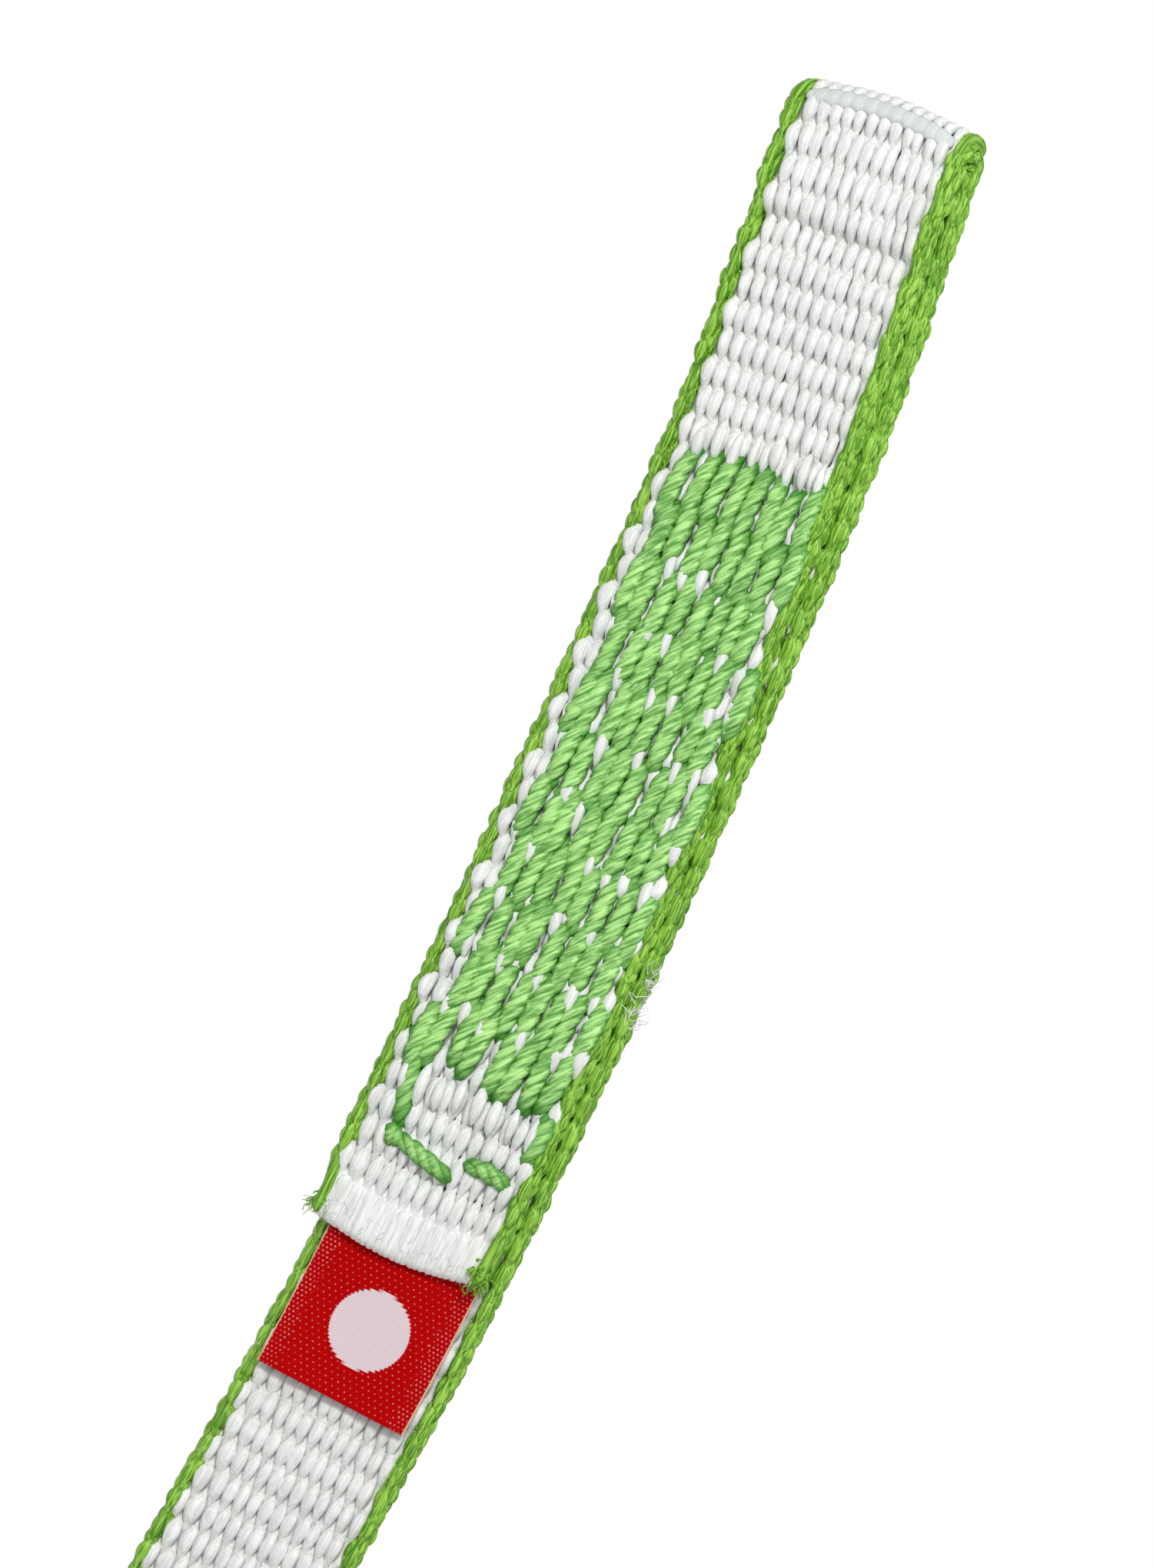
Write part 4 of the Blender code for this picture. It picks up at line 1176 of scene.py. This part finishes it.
class CAM_OT_label(bpy.types.Operator):
    """Lays the small woven label on the webbing, tucked under the cut end"""

    bl_idname = "cam.label"
    bl_label = "Label"

    def execute(self, context):
        settings = context.scene.cam_label
        low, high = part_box("sling_label")
        length = high.z - low.z + LABEL_TUCKED
        shape = bmesh.new()
        bmesh.ops.create_grid(shape, x_segments=64, y_segments=72, size=0.5)
        bmesh.ops.scale(shape, verts=shape.verts, vec=(settings.width, length, 1))
        aside, along, _ = np.array([vert.co[:] for vert in shape.verts]).T
        z = low.z + length / 2 + along
        gap = np.where(z > FRONT_END_Z, TUCKED_GAP, LABEL_GAP)
        gap += LABEL_CURL * smooth_step((low.z + LABEL_CURLS_OVER - z) / LABEL_CURLS_OVER)
        gap += LABEL_RIPPLE * np.sin(aside * 700 + z * 300)
        gap += SIDE_LIFT * smooth_step((np.abs(aside) - SIDES_FROM) / SIDES_OVER)
        y = standing_y(z) - THICKNESS / 2 - gap
        for vert, place in zip(shape.verts, hang(standing_shift(z) - LABEL_ASIDE + aside, y, z)):
            vert.co = place
        bmesh.ops.recalc_face_normals(shape, faces=shape.faces)
        bmesh.ops.solidify(shape, geom=shape.faces, thickness=LABEL_THICKNESS)
        mesh = mesh_of(shape, "label_cloth", 50)
        x, _, z = get_places(mesh).T
        across = x - bowed_x(z) - standing_shift(z)
        along = z - (low.z + FRONT_END_Z) / 2 + DISC_BELOW - across * np.sin(lean(z))
        add_vectors(mesh, "cloth", np.stack([across, along, 0 * z], axis=1))
        link_piece("label_cloth", mesh, label_material(settings), "sling", "label", ["sling_label"])
        return {"FINISHED"}


# Stem


CABLE_STRANDS = 6
CABLE_LAY = 0.0145
STRAND_RADIUS = 0.00042
STRAND_OFFSET = 0.00087
COVER_CLEARANCE = 0.0003
COVER_CUFF = 0.0032
COVER_WAIST = 0.955
RIB_PITCH = 0.0020
RIB_HEIGHT = 0.035
RIBS_FROM = 0.004
RIBS_OVER = 0.002


def thumb_loop_line():
    """The right half of the thumb loop from its throat to the middle of its bar, as x and h."""
    t = np.linspace(0, 1, 40, endpoint=False)[:, None]
    start = np.array([CABLE_LEG_X, THROAT_H])
    end = np.array([LOOP_HALF_WIDTH, STEM_LENGTH - LOOP_CORNER])
    lift = np.array([0, LOOP_FLARE])
    flare = (1 - t) ** 3 * start + 3 * (1 - t) ** 2 * t * (start + lift)
    flare = flare + 3 * (1 - t) * t**2 * (end - lift) + t**3 * end
    angle = np.linspace(0, np.pi / 2, 20)
    corner = np.stack([np.cos(angle), np.sin(angle)], axis=1) * LOOP_CORNER
    corner += [LOOP_HALF_WIDTH - LOOP_CORNER, STEM_LENGTH - LOOP_CORNER]
    bar = np.stack([np.linspace(corner[-1, 0], 0, 12)[1:], np.full(11, STEM_LENGTH)], axis=1)
    return np.concatenate([flare, corner, bar])


def both_halves(half):
    """A line of (x, h) points and its mirror image, as places in the frame."""
    line = np.concatenate([half, half[-2::-1] * [-1, 1]])
    return np.stack([STEM_X + line[:, 0], 0 * line[:, 0], AXLE_Z + line[:, 1]], axis=1)


def evenly(points, step):
    """The same line with points at even distances."""
    along = np.concatenate([[0], np.cumsum(np.linalg.norm(np.diff(points, axis=0), axis=1))])
    wanted = np.linspace(0, along[-1], round(along[-1] / step))
    return np.stack([np.interp(wanted, along, points[:, i]) for i in range(3)], axis=1), wanted


def cable_mesh(loop):
    """The stem's cable: strands laid round a straight one, up one leg, round the loop and down."""
    heights = np.linspace(CABLE_SEAT_H, THROAT_H, 60, endpoint=False)
    leg = np.stack([CABLE_LEG_X + 0 * heights, heights], axis=1)
    line, along = evenly(both_halves(np.concatenate([leg, loop])), 0.0006)
    deep = np.array([0, 1, 0])
    aside = np.cross(unit(np.gradient(line, axis=0)), deep)
    strands = [line]
    for strand in range(CABLE_STRANDS):
        angle = 2 * np.pi * (along / CABLE_LAY + strand / CABLE_STRANDS)
        angle = angle[:, None]
        strands.append(line + STRAND_OFFSET * (np.cos(angle) * aside + np.sin(angle) * deep))
    return tubes("stem_strands", strands, STRAND_RADIUS, 1)


def cover_mesh(loop):
    """The ribbed tube over the thumb loop, with a plain cuff at each end."""
    outside = loop[:, 0] > COVER_RADIUS + COVER_CLEARANCE
    clear = loop[outside | (loop[:, 1] > STEM_LENGTH - LOOP_CORNER)]
    line, along = evenly(both_halves(clear), 0.0005)
    ends = np.minimum(along, along[-1] - along)
    ribs = np.cos(2 * np.pi * along / RIB_PITCH) * smooth_step((ends - RIBS_FROM) / RIBS_OVER)
    swell = (1 + RIB_HEIGHT * ribs) * np.where(ends < COVER_CUFF, 1.0, COVER_WAIST)
    return tubes("loop_cover", [line], 1.0, 8, [COVER_RADIUS * swell])


class CAM_OT_stem(bpy.types.Operator):
    """Makes the stem: a laid cable, its sleeve, the gathered throat and the covered thumb loop"""

    bl_idname = "cam.stem"
    bl_label = "Stem"

    def execute(self, context):
        settings = context.scene.cam_hardware
        steel = metal_material("cable_steel", settings.steel, settings.aluminium, 0.32)
        black = plastic_material("black_sleeve", settings.black, 0.48)
        metal = metal_material("collar_metal", settings.aluminium, (0.9, 0.9, 0.9), 0.3, 0.5)
        loop = thumb_loop_line()
        link_piece("stem_strands", cable_mesh(loop), steel, "stem", "steel", ["stem_cable"])
        link_piece("loop_cover", cover_mesh(loop), black, "stem", "sleeve", ["thumb_loop_cover"])
        finish_node("stem_sleeve", black, "stem", "sleeve", 0.0003)
        finish_node("throat_collar", metal, "stem", "collar", 0.0005)
        finish_node("trigger_stop", metal, "stem", "collar", 0.0004)
        return {"FINISHED"}


# Head


LOBES = ("front_outer", "front_inner", "rear_inner", "rear_outer")


class CAM_OT_head(bpy.types.Operator):
    """Makes the terminal, the axle with its peened ends, the washers and the spacers"""

    bl_idname = "cam.head"
    bl_label = "Head"

    def execute(self, context):
        settings = context.scene.cam_hardware
        steel = metal_material("head_steel", settings.steel, settings.aluminium, 0.3, 0.4)
        finish_node("head_terminal", steel, "stem", "steel", 0.0006, segments=3)
        finish_node("axle", steel, "stem", "steel", 0.0005, segments=3)
        for node in ("front_washer", "rear_washer", "front_spacer", "rear_spacer"):
            finish_node(node, steel, "stem", "steel", 0.0002, segments=3)
        return {"FINISHED"}


class CAM_OT_lobes(bpy.types.Operator):
    """Makes the four anodised lobes with softened teeth and holes"""

    bl_idname = "cam.lobes"
    bl_label = "Lobes"

    def execute(self, context):
        settings = context.scene.cam_hardware
        green = metal_material("green_anodised", settings.anodised, settings.aluminium, 0.34, 0.8)
        for name in LOBES:
            finish_node(f"{name}_lobe", green, f"{name}_cam", "lobe", 0.00016, angle=30)
        return {"FINISHED"}


SPRING_RADIUS = 0.0052
SPRING_WIRE = 0.0004
SPRING_LEG_RADIUS = 0.0086
SPRING_LEG_ANGLE = math.radians(-38)
SPRING_MIDDLE_Y = 0.0125
SPRING_ROOM = 0.00225
SPRING_FACE = 0.0030
SPRING_LEG_DEPTH = 0.0022
SPRING_BEND = 0.0006
SPRING_FIRST = math.pi - SPRING_LEG_ANGLE
SPRING_LAST = 8 * math.pi + SPRING_LEG_ANGLE


def spring_half(start, toward):
    """Half a spring round the axle, from its leg in a lobe to the middle of its coil."""
    angle = np.linspace(start, (SPRING_FIRST + SPRING_LAST) / 2, 90)
    share = (angle - SPRING_FIRST) / (SPRING_LAST - SPRING_FIRST)
    axial = between(-SPRING_ROOM, SPRING_ROOM, share)
    coil = np.stack([SPRING_RADIUS * np.cos(angle), axial, SPRING_RADIUS * np.sin(angle)], axis=1)
    x, h = SPRING_LEG_RADIUS * math.cos(start), SPRING_LEG_RADIUS * math.sin(start)
    end_y = toward * SPRING_ROOM
    leg = [
        (x, toward * (SPRING_FACE + SPRING_LEG_DEPTH), h),
        (x, end_y + toward * SPRING_BEND, h),
        (0.985 * x, end_y + toward * SPRING_BEND / 6, 0.985 * h),
        (0.95 * x, end_y, 0.95 * h),
    ]
    return np.concatenate([leg, coil])


class CAM_OT_springs(bpy.types.Operator):
    """Winds the two torsion springs, each in two halves"""

    bl_idname = "cam.springs"
    bl_label = "Springs"

    def execute(self, context):
        settings = context.scene.cam_hardware
        steel = metal_material("spring_steel", settings.steel, settings.aluminium, 0.28)
        for end, side in (("front", -1), ("rear", 1)):
            for lobe, start, toward in (("inner", SPRING_FIRST, -1), ("outer", SPRING_LAST, 1)):
                path = spring_half(start, toward)
                path[:, 1] = side * (SPRING_MIDDLE_Y + path[:, 1])
                path += [STEM_X, 0, AXLE_Z]
                name = f"{end}_spring_{lobe}_half"
                mesh = tubes(name, [path], SPRING_WIRE, 4)
                piece = link_piece(name, mesh, steel, None, "steel", [f"{end}_spring"])
                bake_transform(piece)
        return {"FINISHED"}


# Trigger


class CAM_OT_trigger(bpy.types.Operator):
    """Makes the trigger bar with rounded finger rests"""

    bl_idname = "cam.trigger"
    bl_label = "Trigger"

    def execute(self, context):
        settings = context.scene.cam_hardware
        green = plastic_material("trigger_plastic", settings.plastic, 0.42)
        finish_node("trigger_bar", green, "trigger", "trigger", 0.0004, angle=30)
        return {"FINISHED"}


class CAM_OT_wires(bpy.types.Operator):
    """Makes the four trigger wires and the crimped ferrules that hold them"""

    bl_idname = "cam.wires"
    bl_label = "Trigger wires"

    def execute(self, context):
        settings = context.scene.cam_hardware
        steel = metal_material("wire_steel", settings.steel, settings.aluminium, 0.26)
        copper = metal_material("ferrule_copper", settings.copper, (0.9, 0.66, 0.5), 0.34, 0.5)
        for name in LOBES:
            for kind, material, slot, width in (
                ("wire", steel, "steel", 0.00008),
                ("ferrule", copper, "ferrule", 0.0003),
            ):
                node, body = f"{name}_{kind}", f"{name}_link"
                finish_node(node, material, body, slot, width, angle=60, smooth_angle=50)
        return {"FINISHED"}


# Stage


# Each lamp: how far it stands before the sling, to the right and up, its size and its watts
LAMPS = {
    "key": (0.36, 0.10, 0.20, 0.11, 1.25),
    "fill": (0.70, -0.30, -0.05, 0.6, 0.6),
    "side": (0.10, 0.60, 0.0, 0.4, 1.2),
    "back": (-0.60, -0.30, 0.0, 0.4, 1.4),
}
KEY_AIMS_UP = 0.04
WORLD_LIGHT = 0.35
FLOOR_BELOW = 0.03
FLOOR_RADIUS = 0.55


def area_light(name, place, aim, size, watts):
    data = bpy.data.lights.new(name, "AREA")
    data.shape = "DISK"
    data.size = size
    data.energy = watts
    light = bpy.data.objects.new(name, data)
    bpy.context.scene.collection.objects.link(light)
    light.location = place
    light.rotation_euler = (aim - place).to_track_quat("-Z", "Y").to_euler()


def seen_directly(tree):
    """1 for what the camera sees, straight or in metal or glass, and 0 for light."""
    path = tree.nodes.new("ShaderNodeLightPath")
    total = path.outputs["Is Camera Ray"]
    for name in ("Is Glossy Ray", "Is Transmission Ray"):
        node = tree.nodes.new("ShaderNodeMath")
        node.operation = "MAXIMUM"
        tree.links.new(total, node.inputs[0])
        tree.links.new(path.outputs[name], node.inputs[1])
        total = node.outputs[0]
    return total


class CAM_OT_stage(bpy.types.Operator):
    """Sets the camera at the picture's angle, soft lights, a white background and a pale floor"""

    bl_idname = "cam.stage"
    bl_label = "Stage"

    def execute(self, context):
        settings = context.scene.cam_stage
        scene = context.scene
        scene.view_settings.view_transform = "Standard"
        turn, roll = settings.azimuth, settings.roll
        look = Vector((-math.sin(turn), math.cos(turn), 0))
        level = Vector((math.cos(turn), math.sin(turn), 0))
        right = level * math.cos(roll) + Vector((0, 0, math.sin(roll)))
        up = -level * math.sin(roll) + Vector((0, 0, math.cos(roll)))
        middle = right * settings.across + up * settings.up
        data = bpy.data.cameras.new("camera")
        data.sensor_width = 36
        data.lens = data.sensor_width * settings.distance / settings.height
        data.clip_start = 0.01
        camera = bpy.data.objects.new("camera", data)
        scene.collection.objects.link(camera)
        turned = Matrix((right, up, -look)).transposed().to_4x4()
        camera.matrix_world = Matrix.Translation(middle - look * settings.distance) @ turned
        scene.camera = camera
        self.add_lights(middle, look, right, up)
        self.add_world(scene)
        self.add_floor(settings)
        return {"FINISHED"}

    def add_lights(self, middle, look, right, up):
        for name, (before, aside, above, size, watts) in LAMPS.items():
            place = middle - look * before + right * aside + up * above
            aim = middle + up * KEY_AIMS_UP if name == "key" else middle
            area_light(name, place, aim, size, watts)

    def add_world(self, scene):
        world = bpy.data.worlds.new("white_studio")
        scene.world = world
        world.use_nodes = True
        tree = world.node_tree
        background = tree.nodes["Background"]
        background.inputs["Color"].default_value = (1, 1, 1, 1)
        strength = tree.nodes.new("ShaderNodeMapRange")
        tree.links.new(seen_directly(tree), strength.inputs["Value"])
        strength.inputs["To Min"].default_value = WORLD_LIGHT
        strength.inputs["To Max"].default_value = 1.0
        tree.links.new(strength.outputs["Result"], background.inputs["Strength"])

    def add_floor(self, settings):
        shape = bmesh.new()
        bmesh.ops.create_circle(shape, cap_ends=True, segments=96, radius=FLOOR_RADIUS)
        level = CAD_BOX[0][2] - FLOOR_BELOW
        bmesh.ops.translate(shape, verts=shape.verts, vec=(0, 0, level))
        mesh = mesh_of(shape, "floor")
        floor = bpy.data.objects.new("floor", mesh)
        bpy.context.scene.collection.objects.link(floor)
        shader = Shader("pale_floor", 0.8)
        grain = shader.noise(shader.coordinates(), 90.0, 3.0)
        shade = [c * 0.97 for c in settings.floor]
        shader.colour(shader.mix(shader.ramp(grain, 0.3, 0.7), settings.floor, shade))
        mesh.materials.append(shader.material)


class CAM_PT_panel(bpy.types.Panel):
    """Lists the pieces and their settings"""

    bl_idname = "CAM_PT_panel"
    bl_label = "Camming device"
    bl_space_type = "VIEW_3D"
    bl_region_type = "UI"
    bl_category = "Cam"

    def draw(self, context):
        for settings in SETTINGS:
            box = self.layout.box()
            group = getattr(context.scene, settings)
            for name in group.bl_rna.properties.keys():
                if name not in {"rna_type", "name"}:
                    box.prop(group, name)
        for operator in OPERATORS:
            self.layout.operator(operator.bl_idname)


SETTINGS = {
    "cam_webbing": WebbingSettings,
    "cam_thread": ThreadSettings,
    "cam_label": LabelSettings,
    "cam_hardware": HardwareSettings,
    "cam_stage": StageSettings,
}
OPERATORS = (
    CAM_OT_stage,
    CAM_OT_webbing,
    CAM_OT_stitching,
    CAM_OT_cut_ends,
    CAM_OT_label,
    CAM_OT_stem,
    CAM_OT_head,
    CAM_OT_lobes,
    CAM_OT_springs,
    CAM_OT_trigger,
    CAM_OT_wires,
)


def register():
    for name, settings in SETTINGS.items():
        bpy.utils.register_class(settings)
        setattr(bpy.types.Scene, name, PointerProperty(type=settings))
    for operator in OPERATORS:
        bpy.utils.register_class(operator)
    bpy.utils.register_class(CAM_PT_panel)


def unregister():
    bpy.utils.unregister_class(CAM_PT_panel)
    for operator in reversed(OPERATORS):
        bpy.utils.unregister_class(operator)
    for name, settings in SETTINGS.items():
        delattr(bpy.types.Scene, name)
        bpy.utils.unregister_class(settings)


def main():
    register()
    bpy.ops.cam.stage()
    bpy.ops.cam.webbing()
    bpy.ops.cam.stitching()
    bpy.ops.cam.cut_ends()
    bpy.ops.cam.label()
    bpy.ops.cam.stem()
    bpy.ops.cam.head()
    bpy.ops.cam.lobes()
    bpy.ops.cam.springs()
    bpy.ops.cam.trigger()
    bpy.ops.cam.wires()


if __name__ == "__main__":
    main()
